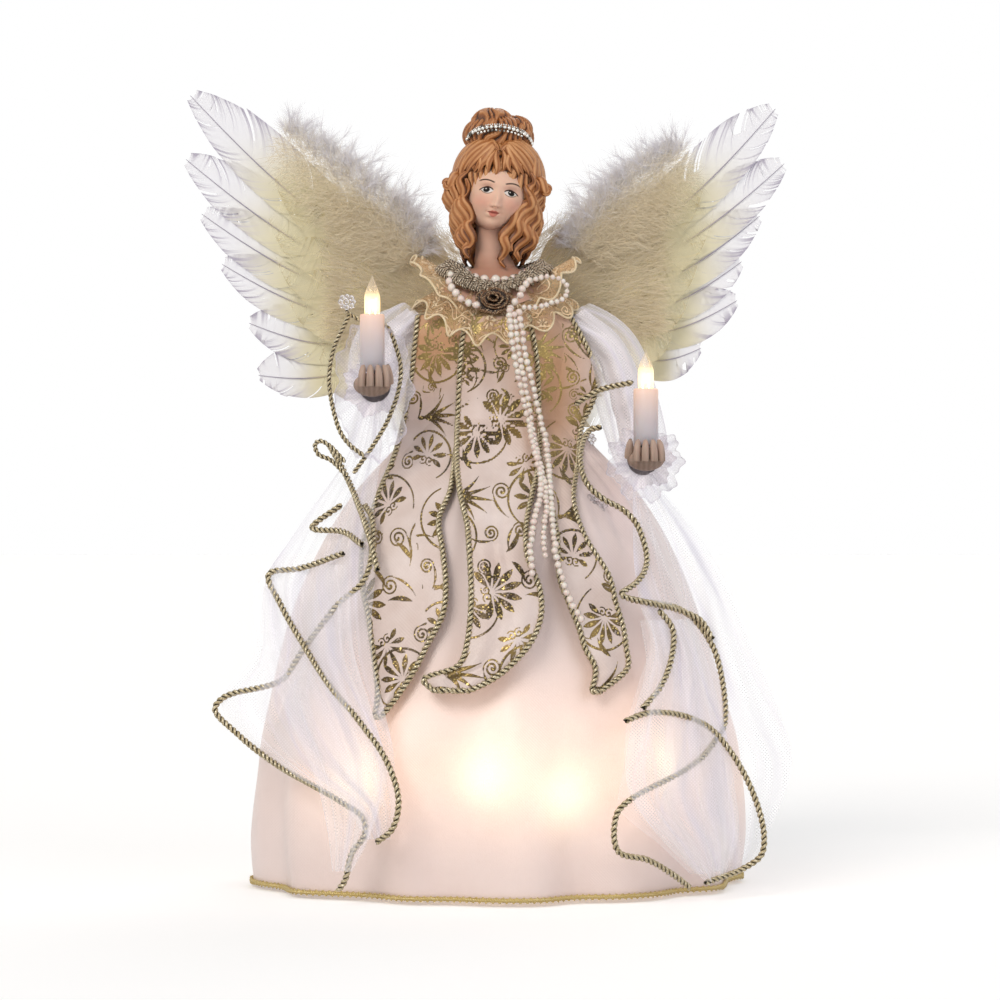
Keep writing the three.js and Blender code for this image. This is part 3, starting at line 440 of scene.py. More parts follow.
class Wiring:
    """Adds nodes to one node tree and links them."""

    def __init__(self, tree: bpy.types.NodeTree) -> None:
        """Starts on a tree.

        Args:
            tree: the tree of a material, a world or a group.
        """
        self.tree = tree

    def add(self, kind: str, settings: dict | None = None, **inputs: object) -> bpy.types.Node:
        """Adds a node.

        Args:
            kind: the node's type.
            settings: its own settings by name.
            inputs: socket values or links; a name's underscores stand for spaces, and iN is the Nth socket.

        Returns:
            The node.
        """
        node = self.tree.nodes.new(kind)
        for name, value in (settings or {}).items():
            setattr(node, name, value)
        for name, value in inputs.items():
            key = int(name[1:]) if name[0] == "i" and name[1:].isdigit() else name.replace("_", " ")
            self.feed(node.inputs[key], value)
        return node

    def feed(self, socket: bpy.types.NodeSocket, value: object) -> None:
        """Links an output into a socket, or sets its value."""
        if isinstance(value, bpy.types.NodeSocket):
            self.tree.links.new(value, socket)
        else:
            socket.default_value = value

    def math(self, operation: str, a: object, b: object = 0.0, clamp: bool = False) -> bpy.types.NodeSocket:
        """The result of one sum on two values."""
        node = self.add("ShaderNodeMath", {"operation": operation, "use_clamp": clamp}, i0=a, i1=b)
        return node.outputs[0]

    def mix(self, share: object, a: object, b: object, blend: str = "MIX") -> bpy.types.NodeSocket:
        """A colour between two colours."""
        node = self.add("ShaderNodeMix", {"data_type": "RGBA", "blend_type": blend})
        for index, value in ((0, share), (6, a), (7, b)):
            self.feed(node.inputs[index], value)
        return node.outputs[2]

    def ramp(
        self, value: object, low: float, high: float, to_low: float = 0.0, to_high: float = 1.0
    ) -> bpy.types.NodeSocket:
        """A value spread from one range to another, held at its ends."""
        node = self.add(
            "ShaderNodeMapRange", {"interpolation_type": "SMOOTHSTEP"}, i0=value, i1=low, i2=high,
            i3=to_low, i4=to_high
        )
        return node.outputs[0]

    def noise(
        self, scale: float, detail: float = 2.0, stretch: Sequence[float] = (1, 1, 1)
    ) -> bpy.types.NodeSocket:
        """Noise in the object's own metres, stretched along its axes."""
        place = self.add("ShaderNodeTexCoord").outputs["Object"]
        mapping = self.add("ShaderNodeMapping", Vector=place, Scale=tuple(stretch))
        node = self.add("ShaderNodeTexNoise", Vector=mapping.outputs[0], Scale=scale, Detail=detail)
        return node.outputs["Fac"]

    def reading(self, name: str) -> bpy.types.NodeSocket:
        """A value that the mesh carries at its points."""
        return self.add("ShaderNodeAttribute", {"attribute_name": name}).outputs["Fac"]

    def reading_colour(self, name: str) -> bpy.types.NodeSocket:
        """A colour that the mesh carries at its points."""
        return self.add("ShaderNodeAttribute", {"attribute_name": name}).outputs["Color"]

    def bumped(self, height: object, distance: float, strength: float = 1.0) -> bpy.types.NodeSocket:
        """A normal from a height, its full depth given in metres."""
        return self.add("ShaderNodeBump", Height=height, Distance=distance, Strength=strength).outputs[0]

    def group(self, tree: bpy.types.NodeTree, **inputs: object) -> bpy.types.Node:
        """Places a node group with its own values."""
        return self.add("ShaderNodeGroup", {"node_tree": tree}, **inputs)


class GroupMaker:
    """Makes a node group with named inputs and outputs."""

    def __init__(self, name: str, inputs: dict[str, float], outputs: dict[str, str]) -> None:
        """Starts the group.

        Args:
            name: the group's name.
            inputs: number sockets and their values.
            outputs: socket names and their kinds, "Float" or "Color".
        """
        self.tree = bpy.data.node_groups.new(name, "ShaderNodeTree")
        for key, value in inputs.items():
            socket = self.tree.interface.new_socket(key, in_out="INPUT", socket_type="NodeSocketFloat")
            socket.default_value = value
        for key, kind in outputs.items():
            self.tree.interface.new_socket(key, in_out="OUTPUT", socket_type=f"NodeSocket{kind}")
        self.wiring = Wiring(self.tree)
        self.taken = self.wiring.add("NodeGroupInput").outputs
        self.given = self.wiring.add("NodeGroupOutput")

    def give(self, **values: object) -> bpy.types.NodeTree:
        """Links the outputs and returns the group."""
        for key, value in values.items():
            self.wiring.feed(self.given.inputs[key], value)
        return self.tree


def weave_group() -> bpy.types.NodeTree:
    """Threads that cross at right angles: a height and a mask of the gaps between them."""
    maker = GroupMaker(
        "thread_weave", {"Threads": 2500.0, "Slub": 0.3}, {"Height": "Float", "Gaps": "Float"}
    )
    w = maker.wiring
    place = w.add("ShaderNodeTexCoord").outputs["Object"]
    axes = w.add("ShaderNodeSeparateXYZ", Vector=place)
    along = w.math("SINE", w.math("MULTIPLY", axes.outputs[0], maker.taken["Threads"]))
    up = w.math("SINE", w.math("MULTIPLY", axes.outputs[2], maker.taken["Threads"]))
    slub = w.math("MULTIPLY", w.noise(260, 3, (1, 1, 6)), maker.taken["Slub"])
    height = w.math("ADD", w.math("MULTIPLY", along, up), slub)
    return maker.give(Height=height, Gaps=w.math("MULTIPLY", along, up, clamp=True))


def glow_group(lamps: Sequence[tuple[Vector, float]]) -> bpy.types.NodeTree:
    """Warm light that lamps inside throw on cloth: strong near each lamp and soft round it.

    Args:
        lamps: each lamp's place in metres and its share of the glow.

    Returns:
        The group, whose Mask is 0 to about 1.
    """
    maker = GroupMaker("lamp_glow", {"Core": 0.011, "Halo": 0.036}, {"Core": "Float", "Halo": "Float"})
    w = maker.wiring
    place = w.add("ShaderNodeTexCoord").outputs["Object"]
    core: object = 0.0
    halo: object = 0.0
    for spot, share in lamps:
        away = w.add(
            "ShaderNodeVectorMath", {"operation": "DISTANCE"}, i0=place, i1=tuple(spot)
        ).outputs["Value"]
        for key in ("Core", "Halo"):
            near = w.math(
                "POWER", 2.718,
                w.math("MULTIPLY", w.math("POWER", w.math("DIVIDE", away, maker.taken[key]), 2.0), -1.0)
            )
            part = w.math("MULTIPLY", near, share)
            if key == "Core":
                core = w.math("ADD", core, part)
            else:
                halo = w.math("ADD", halo, part)
    return maker.give(Core=core, Halo=halo)


def tone_group() -> bpy.types.NodeTree:
    """Slow unevenness of a surface, such as handling, dye or casting leaves, from dark 0 to light 1."""
    maker = GroupMaker("uneven_tone", {"Scale": 40.0, "Contrast": 1.0}, {"Tone": "Float"})
    w = maker.wiring
    place = w.add("ShaderNodeTexCoord").outputs["Object"]
    node = w.add("ShaderNodeTexNoise", Vector=place, Scale=maker.taken["Scale"], Detail=4.0)
    centred = w.math("MULTIPLY", w.math("SUBTRACT", node.outputs["Fac"], 0.5), maker.taken["Contrast"])
    return maker.give(Tone=w.math("ADD", centred, 0.5, clamp=True))


@dataclass
class Effects:
    """The node groups that several finishes share, each built once."""

    weave: bpy.types.NodeTree
    glow: bpy.types.NodeTree
    tone: bpy.types.NodeTree


# Finishes


@dataclass(frozen=True)
class Finish:
    """What every finish has: a name, and a Principled shader with plain values."""

    name: str
    base: str = "ffffff"
    roughness: float = 0.5
    metallic: float = 0.0

    def build(self, effects: Effects) -> bpy.types.Material:
        """Makes the material.

        Args:
            effects: the shared node groups.

        Returns:
            The material, its shader dressed by paint().
        """
        material = bpy.data.materials.new(self.name)
        material.use_nodes = True
        wiring = Wiring(material.node_tree)
        shader = material.node_tree.nodes["Principled BSDF"]
        shader.inputs["Base Color"].default_value = colour(self.base)
        shader.inputs["Roughness"].default_value = self.roughness
        shader.inputs["Metallic"].default_value = self.metallic
        self.paint(wiring, shader, effects)
        return material

    def paint(self, w: Wiring, shader: bpy.types.Node, effects: Effects) -> None:
        """Adds what this finish has over a plain colour."""


@dataclass(frozen=True)
class Satin(Finish):
    """Smooth satin: a soft sheen over fine threads, and the light of the lamps behind it."""

    shade: str = "e3cfc8"
    core: str = "fff0c0"
    halo: str = "ffc58f"
    core_strength: float = 0.0
    halo_strength: float = 0.0
    threads: float = 5200.0

    def paint(self, w: Wiring, shader: bpy.types.Node, effects: Effects) -> None:
        """Adds the threads, the slow change of tone and the lamps' glow."""
        shader.inputs["Sheen Weight"].default_value = 0.12
        shader.inputs["Sheen Roughness"].default_value = 0.35
        shader.inputs["Anisotropic"].default_value = 0.3
        tone = w.group(effects.tone, Scale=22.0, Contrast=1.4).outputs["Tone"]
        shaded = w.mix(tone, colour(self.shade), colour(self.base))
        w.feed(shader.inputs["Base Color"], shaded)
        weave = w.group(effects.weave, Threads=self.threads, Slub=0.5).outputs["Height"]
        w.feed(shader.inputs["Normal"], w.bumped(weave, 0.00006, 0.35))
        if self.core_strength or self.halo_strength:
            glow = w.group(effects.glow)
            patch = w.group(effects.tone, Scale=60.0, Contrast=0.6).outputs["Tone"]
            height = w.add(
                "ShaderNodeSeparateXYZ", Vector=w.add("ShaderNodeTexCoord").outputs["Object"]
            ).outputs["Z"]
            soft = w.math(
                "MULTIPLY", w.math("MULTIPLY", glow.outputs["Halo"], self.halo_strength),
                w.math("ADD", patch, 0.5)
            )
            soft = w.math("MULTIPLY", soft, w.ramp(height, 0.008, 0.05, 0.35, 1.1))
            near = w.math("MULTIPLY", glow.outputs["Core"], self.core_strength)
            warm = w.mix(soft, (0, 0, 0, 1), colour(self.halo))
            bright = w.mix(near, warm, colour(self.core))
            w.feed(shader.inputs["Emission Color"], bright)
            shader.inputs["Emission Strength"].default_value = 1.0


@dataclass(frozen=True)
class Brocade(Finish):
    """Brocade: a pale ground with printed foil ornament that stands a little proud."""

    ground: str = "eedfd9"
    ground_shade: str = "d6c0b6"
    foil: str = "7d6636"
    foil_dark: str = "3c2d14"
    foil_bright: str = "dcc27a"
    # warmed is the ground's colour in the painted light of the lamps
    warmed: str = "bd8448"

    def paint(self, w: Wiring, shader: bpy.types.Node, effects: Effects) -> None:
        """Adds the weave of the ground, the foil, its wear and the warmth of the lamps above."""
        foil = w.ramp(w.reading("foil"), 0.35, 0.62)
        tone = w.group(effects.tone, Scale=55.0, Contrast=1.8).outputs["Tone"]
        fleck = w.noise(900, 2)
        ground = w.mix(tone, colour(self.ground_shade), colour(self.ground))
        metal = w.mix(w.ramp(tone, 0.25, 0.75), colour(self.foil_dark), colour(self.foil))
        metal = w.mix(w.ramp(fleck, 0.56, 0.7), metal, colour(self.foil_bright))
        # painted lamp light: where warmth is high the foil turns brighter and the ground warmer
        warm = w.reading("warmth")
        lamp_lit_foil = w.mix(w.math("MULTIPLY", warm, 0.3), metal, colour(self.foil_bright))
        lamp_warmed_ground = w.mix(w.math("MULTIPLY", warm, 0.8), ground, colour(self.warmed))
        worn = w.math("MULTIPLY", foil, w.ramp(fleck, 0.3, 0.42, 0.6, 1.0))
        w.feed(shader.inputs["Base Color"], w.mix(worn, lamp_warmed_ground, lamp_lit_foil))
        w.feed(shader.inputs["Metallic"], w.math("MULTIPLY", worn, 0.55))
        w.feed(shader.inputs["Roughness"], w.ramp(worn, 0, 1, 0.5, 0.34))
        weave = w.group(effects.weave, Threads=4200.0, Slub=0.8).outputs["Height"]
        proud = w.math("ADD", w.math("MULTIPLY", foil, 1.0), w.math("MULTIPLY", weave, 0.16))
        w.feed(shader.inputs["Normal"], w.bumped(proud, 0.00025, 0.7))
        shader.inputs["Sheen Weight"].default_value = 0.1


@dataclass(frozen=True)
class MetalThread(Finish):
    """Metal thread, as on cords and braid: bright backs of painted highlight and dark grooves of painted
    shade, with a painted glitter of turns.
    """

    # groove is the colour of the painted shade between the plies, bright that of the painted highlight on
    # their backs
    groove: str = "4a3d24"
    bright: str = "e3d5a6"

    def paint(self, w: Wiring, shader: bpy.types.Node, effects: Effects) -> None:
        """Adds the painted shade in the grooves between the plies, the turns of foil and their glitter of
        painted highlight.
        """
        crest = w.ramp(w.reading("crest"), 0.5, 0.95)
        glitter = w.noise(2600, 2)
        body = w.mix(crest, colour(self.groove), colour(self.base))
        # painted highlight: glints of the bright colour on the plies' backs
        lit = w.mix(w.math("MULTIPLY", crest, w.ramp(glitter, 0.5, 0.66)), body, colour(self.bright))
        w.feed(shader.inputs["Base Color"], lit)
        w.feed(shader.inputs["Roughness"], w.ramp(glitter, 0.35, 0.65, 0.5, 0.26))
        w.feed(shader.inputs["Normal"], w.bumped(glitter, 0.0001, 0.6))


@dataclass(frozen=True)
class Sheer(Finish):
    """Sheer cloth: mostly clear, more solid in its creases and where it is seen edge on, with painted shade
    greying its creases and a faint painted glow for light that passes through it.
    """

    clear: float = 0.16
    crease: float = 0.5
    # tint is the colour of the painted shade in the creases
    tint: str = "cfc8d2"
    # passed is the strength of a painted glow, an even emission for light that passes through the cloth
    passed: float = 0.16

    def paint(self, w: Wiring, shader: bpy.types.Node, effects: Effects) -> None:
        """Adds the creases and their painted shade, the edge-on weight, the fine threads and the painted
        glow.
        """
        fold = w.reading("crease")
        facing = w.add("ShaderNodeLayerWeight", Blend=0.35).outputs["Facing"]
        threads = w.group(effects.weave, Threads=4600.0, Slub=0.4)
        solid = w.math(
            "ADD", w.math("MULTIPLY", w.math("POWER", facing, 2.0), 0.5),
            w.math("MULTIPLY", fold, self.crease)
        )
        solid = w.math("ADD", solid, self.clear, clamp=True)
        solid = w.math("MULTIPLY", solid, w.ramp(threads.outputs["Gaps"], 0, 1, 0.85, 1.1), clamp=True)
        w.feed(shader.inputs["Alpha"], solid)
        # painted shade: the creases take the greyer tint
        w.feed(
            shader.inputs["Base Color"],
            w.mix(w.math("MULTIPLY", fold, 1.0, clamp=True), colour(self.base), colour(self.tint))
        )
        shader.inputs["Sheen Weight"].default_value = 0.3
        # painted light: the cloth glows faintly in its own colour
        shader.inputs["Emission Color"].default_value = colour(self.base)
        shader.inputs["Emission Strength"].default_value = self.passed
        w.feed(shader.inputs["Normal"], w.bumped(threads.outputs["Height"], 0.00005, 0.3))


@dataclass(frozen=True)
class Net(Finish):
    """Lace: a fine net with solid worked ornament on it."""

    worked: str = "efe6cf"

    def paint(self, w: Wiring, shader: bpy.types.Node, effects: Effects) -> None:
        """Adds the net's holes, the ornament and its raised thread."""
        place = w.add("ShaderNodeTexCoord").outputs["Object"]
        cells = w.add("ShaderNodeTexVoronoi", {"feature": "DISTANCE_TO_EDGE"}, Vector=place, Scale=1050.0)
        thread = w.ramp(cells.outputs["Distance"], 0.1, 0.2, 1.0, 0.0)
        ornament = w.ramp(w.reading("foil"), 0.3, 0.6)
        solid = w.math("MAXIMUM", w.math("MAXIMUM", w.math("MULTIPLY", thread, 0.6), ornament), 0.1)
        w.feed(shader.inputs["Alpha"], solid)
        tone = w.group(effects.tone, Scale=160.0, Contrast=1.5).outputs["Tone"]
        w.feed(
            shader.inputs["Base Color"],
            w.mix(w.math("MULTIPLY", ornament, tone), colour(self.base), colour(self.worked))
        )
        w.feed(shader.inputs["Normal"], w.bumped(w.math("ADD", ornament, thread), 0.00025, 0.8))


@dataclass(frozen=True)
class Pearl(Finish):
    """Pearl: a warm white body under a clear coat, each bead a little different."""

    rose: str = "ecd9cf"

    def paint(self, w: Wiring, shader: bpy.types.Node, effects: Effects) -> None:
        """Adds the change from bead to bead, painted shade towards each bead's outline, and the lustre."""
        facing = w.add("ShaderNodeLayerWeight", Blend=0.4).outputs["Facing"]
        body = w.mix(w.reading("shade"), colour(self.base), colour(self.rose))
        # painted shade: each bead darkens towards its outline as seen
        w.feed(shader.inputs["Base Color"], w.mix(w.math("MULTIPLY", facing, 0.7), body, colour("b8a594")))
        shader.inputs["Coat Weight"].default_value = 0.9
        shader.inputs["Coat Roughness"].default_value = 0.08
        shader.inputs["Subsurface Weight"].default_value = 0.15
        shader.inputs["Subsurface Scale"].default_value = 0.0015


@dataclass(frozen=True)
class PaintedResin(Finish):
    """Painted cast resin: the brush's own colours on the mesh, faintly uneven and satin."""

    def paint(self, w: Wiring, shader: bpy.types.Node, effects: Effects) -> None:
        """Adds the painted colours and the brushed surface."""
        tone = w.group(effects.tone, Scale=240.0, Contrast=0.5).outputs["Tone"]
        painted = w.reading_colour("paint")
        shade = w.mix(w.ramp(tone, 0, 1, 0.86, 1.08), (0, 0, 0, 1), painted)
        w.feed(shader.inputs["Base Color"], shade)
        w.feed(
            shader.inputs["Roughness"],
            w.ramp(tone, 0.2, 0.8, self.roughness - 0.08, self.roughness + 0.1)
        )
        w.feed(shader.inputs["Normal"], w.bumped(w.noise(1400, 2), 0.00003, 0.5))
        shader.inputs["Subsurface Weight"].default_value = 0.08
        shader.inputs["Subsurface Scale"].default_value = 0.002
        shader.inputs["Specular IOR Level"].default_value = 0.16


@dataclass(frozen=True)
class SculptedHair(Finish):
    """Cast and painted hair: golden crests over dark brown grooves, the dark partly a brown wash and partly
    painted shade, the gold partly dry-brushing and partly painted highlight.
    """

    groove: str = "3d1d0d"
    mid: str = "a4632f"
    crest: str = "e0a873"

    def paint(self, w: Wiring, shader: bpy.types.Node, effects: Effects) -> None:
        """Adds the grooves' wash and painted shade, the crests' dry-brushing and painted highlight, and
        fine strands.
        """
        depth = w.reading("crest")
        tone = w.group(effects.tone, Scale=120.0, Contrast=1.6).outputs["Tone"]
        # painted shade darkens the grooves and painted highlight lightens the crests, both read from crest
        low = w.mix(w.ramp(depth, 0.22, 0.62), colour(self.groove), colour(self.mid))
        light = w.math("MULTIPLY", w.ramp(depth, 0.5, 0.95), w.ramp(tone, 0, 1, 0.45, 1.0))
        w.feed(shader.inputs["Base Color"], w.mix(light, low, colour(self.crest)))
        w.feed(shader.inputs["Normal"], w.bumped(w.noise(1500, 3, (1, 1, 0.3)), 0.0001, 0.5))


@dataclass(frozen=True)
class Plume(Finish):
    """Feather: dyed near the root, white and half clear at the tip, with streaks and a darker rim."""

    dyed: str = "dccfa6"
    dyed_shade: str = "c9b594"
    shade: str = "a39bac"
    tip_alpha: float = 0.42
    root_alpha: float = 1.0
    change: tuple[float, float] = (0.4, 0.78)
    streaks: float = 0.8

    def paint(self, w: Wiring, shader: bpy.types.Node, effects: Effects) -> None:
        """Adds the dye, the clear tip, the streaks of the barbs and the rim."""
        barb, edge = w.reading("barb"), w.reading("edge")
        tipward = w.ramp(w.reading("along"), self.change[0], self.change[1])
        tone = w.group(effects.tone, Scale=45.0, Contrast=1.6).outputs["Tone"]
        dyed = w.mix(tone, colour(self.dyed_shade), colour(self.dyed))
        body = w.mix(tipward, dyed, colour(self.base))
        streak = w.math("MULTIPLY", w.ramp(barb, 0.3, 0.85), w.ramp(tipward, 0, 1, 0.12, self.streaks))
        rim = w.math("MULTIPLY", edge, w.ramp(tipward, 0, 1, 0.05, 0.55))
        mark = w.math("ADD", streak, rim, clamp=True)
        w.feed(shader.inputs["Base Color"], w.mix(mark, body, colour(self.shade)))
        solid = w.ramp(tipward, 0, 1, self.root_alpha, self.tip_alpha)
        w.feed(shader.inputs["Alpha"], w.math("ADD", solid, w.math("MULTIPLY", mark, 0.35), clamp=True))
        shader.inputs["Sheen Weight"].default_value = 0.15


@dataclass(frozen=True)
class MouldedPlastic(Finish):
    """Moulded plastic: one tone with flow marks and a fine matt grain, warm where a lamp lights it."""

    glow: str = "ffb45a"
    lit: bool = False

    def paint(self, w: Wiring, shader: bpy.types.Node, effects: Effects) -> None:
        """Adds the flow marks, the grain and, near a lit lamp, its warmth."""
        tone = w.group(effects.tone, Scale=90.0, Contrast=0.8).outputs["Tone"]
        dark = tuple(c * 0.88 for c in colour(self.base)[:3]) + (1.0,)
        w.feed(shader.inputs["Base Color"], w.mix(tone, dark, colour(self.base)))
        w.feed(
            shader.inputs["Roughness"],
            w.ramp(tone, 0.2, 0.8, self.roughness - 0.06, self.roughness + 0.08)
        )
        w.feed(shader.inputs["Normal"], w.bumped(w.noise(1800, 2), 0.00002, 0.5))
        shader.inputs["Subsurface Weight"].default_value = 0.1
        shader.inputs["Subsurface Scale"].default_value = 0.003
        if self.lit:
            near = w.math("POWER", w.reading("lit"), 2.0)
            w.feed(shader.inputs["Emission Color"], w.mix(near, (0, 0, 0, 1), colour(self.glow)))
            shader.inputs["Emission Strength"].default_value = 0.9


@dataclass(frozen=True)
class WornMetal(Finish):
    """Bare or plated metal with a dull film and brighter rubbed places."""

    film: str = "55524c"

    def paint(self, w: Wiring, shader: bpy.types.Node, effects: Effects) -> None:
        """Adds the film, the rubbed places and fine drawing marks."""
        tone = w.group(effects.tone, Scale=300.0, Contrast=2.0).outputs["Tone"]
        w.feed(
            shader.inputs["Base Color"],
            w.mix(w.ramp(tone, 0.3, 0.6), colour(self.film), colour(self.base))
        )
        w.feed(
            shader.inputs["Roughness"],
            w.ramp(tone, 0.2, 0.8, self.roughness + 0.15, self.roughness - 0.05)
        )
        w.feed(shader.inputs["Normal"], w.bumped(w.noise(2200, 3, (1, 1, 0.1)), 0.00003, 0.5))


@dataclass(frozen=True)
class LampGlass(Finish):
    """Clear lamp glass that carries the light of its filament."""

    light: str = "ffd98a"
    strength: float = 1.0

    def paint(self, w: Wiring, shader: bpy.types.Node, effects: Effects) -> None:
        """Adds the clear body and the bright middle."""
        lit = w.reading("lit")
        shader.inputs["IOR"].default_value = 1.45
        facing = w.add("ShaderNodeLayerWeight", Blend=0.3).outputs["Facing"]
        clear = w.math("ADD", w.math("MULTIPLY", facing, 0.45), 0.18)
        w.feed(shader.inputs["Alpha"], w.math("ADD", clear, w.math("MULTIPLY", lit, 0.8), clamp=True))
        w.feed(shader.inputs["Emission Color"], w.mix(lit, colour("3a2a10"), colour(self.light)))
        shader.inputs["Emission Strength"].default_value = self.strength


@dataclass(frozen=True)
class Crystal(Finish):
    """A clear faceted bead."""

    def paint(self, w: Wiring, shader: bpy.types.Node, effects: Effects) -> None:
        """Makes the bead clear, with brighter facets."""
        shader.inputs["Transmission Weight"].default_value = 0.85
        shader.inputs["IOR"].default_value = 1.55
        w.feed(shader.inputs["Base Color"], w.mix(w.noise(500, 1), colour(self.base), colour("d8d2d8")))


class Finishes:
    """Every finish of the topper, made once and given out by name."""

    def __init__(self, lamps: Sequence[tuple[Vector, float]]) -> None:
        """Builds the shared groups and the materials.

        Args:
            lamps: the skirt lamps' places in metres and their shares of the glow.
        """
        effects = Effects(weave_group(), glow_group(lamps), tone_group())
        wanted = {
            "skirt_satin": Satin(
                "skirt_satin", "f8e9e5", 0.36, 0.0, shade="ead7d2", core_strength=0.5,
                halo_strength=0.24
            ),
            "white_satin": Satin("white_satin", "f4efef", 0.34, 0.0, shade="dcd3d8"),
            "brocade": Brocade("brocade", roughness=0.5),
            # the groove colours of the metal threads are painted shade, the bright colours painted
            # highlight
            "gold_cord": MetalThread("gold_cord", "a89874", 0.4, 0.5, groove="1e180e", bright="f8f0d8"),
            "hem_thread": MetalThread("hem_thread", "bda565", 0.42, 0.5, groove="6d5a30"),
            "old_braid": MetalThread("old_braid", "93806a", 0.42, 0.5, groove="1f1710", bright="f4ead6"),
            "bronze_ribbon": MetalThread(
                "bronze_ribbon", "80583a", 0.38, 0.5, groove="1c1009", bright="f6dfb8"
            ),
            # on the sheers, passed is a painted glow for light through the cloth and tint the painted shade
            # of the creases
            "organza": Sheer("organza", "fbfafd", 0.35, clear=0.17, crease=0.5, tint="cec9d8", passed=0.17),
            "cuff_sheer": Sheer("cuff_sheer", "f1eef4", 0.35, clear=0.22, crease=0.5, tint="c4bdcc"),
            # the inner satin cuff is a nearly solid sheer whose painted glow lifts it where it lies in
            # shade
            "cuff_satin": Sheer(
                "cuff_satin", "f6f2f5", 0.35, clear=0.8, crease=0.5, tint="b9b1bf", passed=0.24
            ),
            "lace": Net("lace", "e6be8e", 0.6, worked="fff0d2"),
            "lace_edge": MetalThread("lace_edge", "f0dcb4", 0.5, 0.1, groove="b08a58", bright="fff8e4"),
            "pearl": Pearl("pearl", "f3ebe0", 0.22),
            "skin": PaintedResin("skin", "f4cbb2", 0.55),
            "hair": SculptedHair("hair", roughness=0.46),
            "silver": WornMetal("silver", "d8d6d0", 0.25, 1.0),
            "steel": WornMetal("steel", "8e8e92", 0.65, 0.8, film="6c6c70"),
            "crystal": Crystal("crystal", "ffffff", 0.05),
            "feather": Plume(
                "feather", "f2f1f7", 0.7, dyed="f2eccc", dyed_shade="e6deba", shade="b7b1c2",
                tip_alpha=0.62, change=(0.48, 0.84), streaks=0.9
            ),
            "covert": Plume(
                "covert", "efe9ca", 0.8, dyed="f0e6c0", dyed_shade="e4d8b0", shade="cfc094",
                tip_alpha=0.1, change=(0.5, 0.98)
            ),
            "quill": Plume("quill", "cbc4cf", 0.5, dyed="dccfa8", dyed_shade="cdbd94", tip_alpha=0.8),
            "down": Plume(
                "down", "fbfafc", 0.9, dyed="f3e6c8", dyed_shade="eadbba", shade="cbc5d4",
                tip_alpha=0.5, root_alpha=0.5, change=(0.15, 0.85), streaks=0.5
            ),
            "candle": MouldedPlastic("candle", "cfc9cf", 0.42, lit=True),
            "socket": MouldedPlastic("socket", "dcd8cc", 0.5),
            "shell": MouldedPlastic("shell", "ece8dd", 0.5),
            "wire": MouldedPlastic("wire", "e4e0d2", 0.45),
            "card": MouldedPlastic("card", "e8e4d6", 0.8),
            "glass": LampGlass("glass", "e8dfd2", 0.05, strength=1.7),
            "filament": LampGlass("filament", "ffffff", 0.3, light="fff3c8", strength=9.0),
        }
        self.materials = {name: finish.build(effects) for name, finish in wanted.items()}

    def __getitem__(self, name: str) -> bpy.types.Material:
        """The material of that name."""
        return self.materials[name]


# The figure's shape, in millimetres, as the solids of model.glb have it


@dataclass(frozen=True)
class Figure:
    """Where the skirt, the bodice and the cloths over them lie."""

    hem: float = 1.2
    skirt_top: float = 196.0
    skirt_half_width: float = 101.0
    skirt_shares: tuple[tuple[float, float], ...] = (
        (0, 0.98), (0.11, 1), (0.28, 0.98), (0.42, 0.915),
        (0.56, 0.835), (0.7, 0.725), (0.82, 0.59), (0.93, 0.4),
    )
    torso_base: float = 190.3
    torso_top: float = 243.0
    torso_half_width: float = 31.0
    torso_depth: float = 0.72
    torso_shares: tuple[tuple[float, float], ...] = (
        (0, 0.76), (0.2, 0.86), (0.7, 1), (0.87, 0.86), (1, 0.55)
    )
    bodice_hem: float = 199.0
    bodice_off: float = 2.7
    fold_depth: float = 2.6
    folds: int = 13

    def torso_width(self, height: Array) -> Array:
        """Half the torso's width at a height."""
        rise = self.torso_top - self.torso_base
        return self.torso_half_width * flow(self.torso_shares, (height - self.torso_base) / rise)

    def skirt_width(self, height: Array) -> Array:
        """Half the skirt's width at a height."""
        rise = self.skirt_top - self.hem
        waist = float(self.torso_width(np.array(self.skirt_top))) + 1.5
        rows = [
            (self.hem + share * rise, self.skirt_half_width * width)
            for share, width in self.skirt_shares
        ]
        return flow([*rows, (self.skirt_top, waist)], height)

    def depth_share(self, height: Array) -> Array:
        """How deep the skirt is against its width."""
        return np.interp(height, [142.5, 196], [0.94, self.torso_depth])

    def fold_reach(self, height: Array) -> Array:
        """How far the skirt's folds stand out at a height."""
        return self.fold_depth * np.interp(height, [self.hem, 190, self.skirt_top], [1, 0.3, 0])

    def robe_width(self, height: Array) -> Array:
        """Half the width of what the robe lies on."""
        skirt = self.skirt_width(height) + 1.4 * self.fold_reach(height)
        bodice = self.torso_width(np.maximum(height, self.bodice_hem)) + self.bodice_off / self.torso_depth
        return np.maximum(skirt, bodice)

    def front(self, across: Array, height: Array, layer: Array | float) -> Array:
        """The y of a cloth that hangs in front, a layer's distance out."""
        half = self.robe_width(height) + layer
        reach = np.minimum(np.abs(across), 0.8 * half)
        beyond = np.maximum(np.abs(across) - 0.8 * half, 0)
        return -self.depth_share(height) * np.sqrt(half**2 - reach**2) + 0.25 * beyond


FIGURE = Figure()


# Ornament, drawn in code on one repeat of a cloth


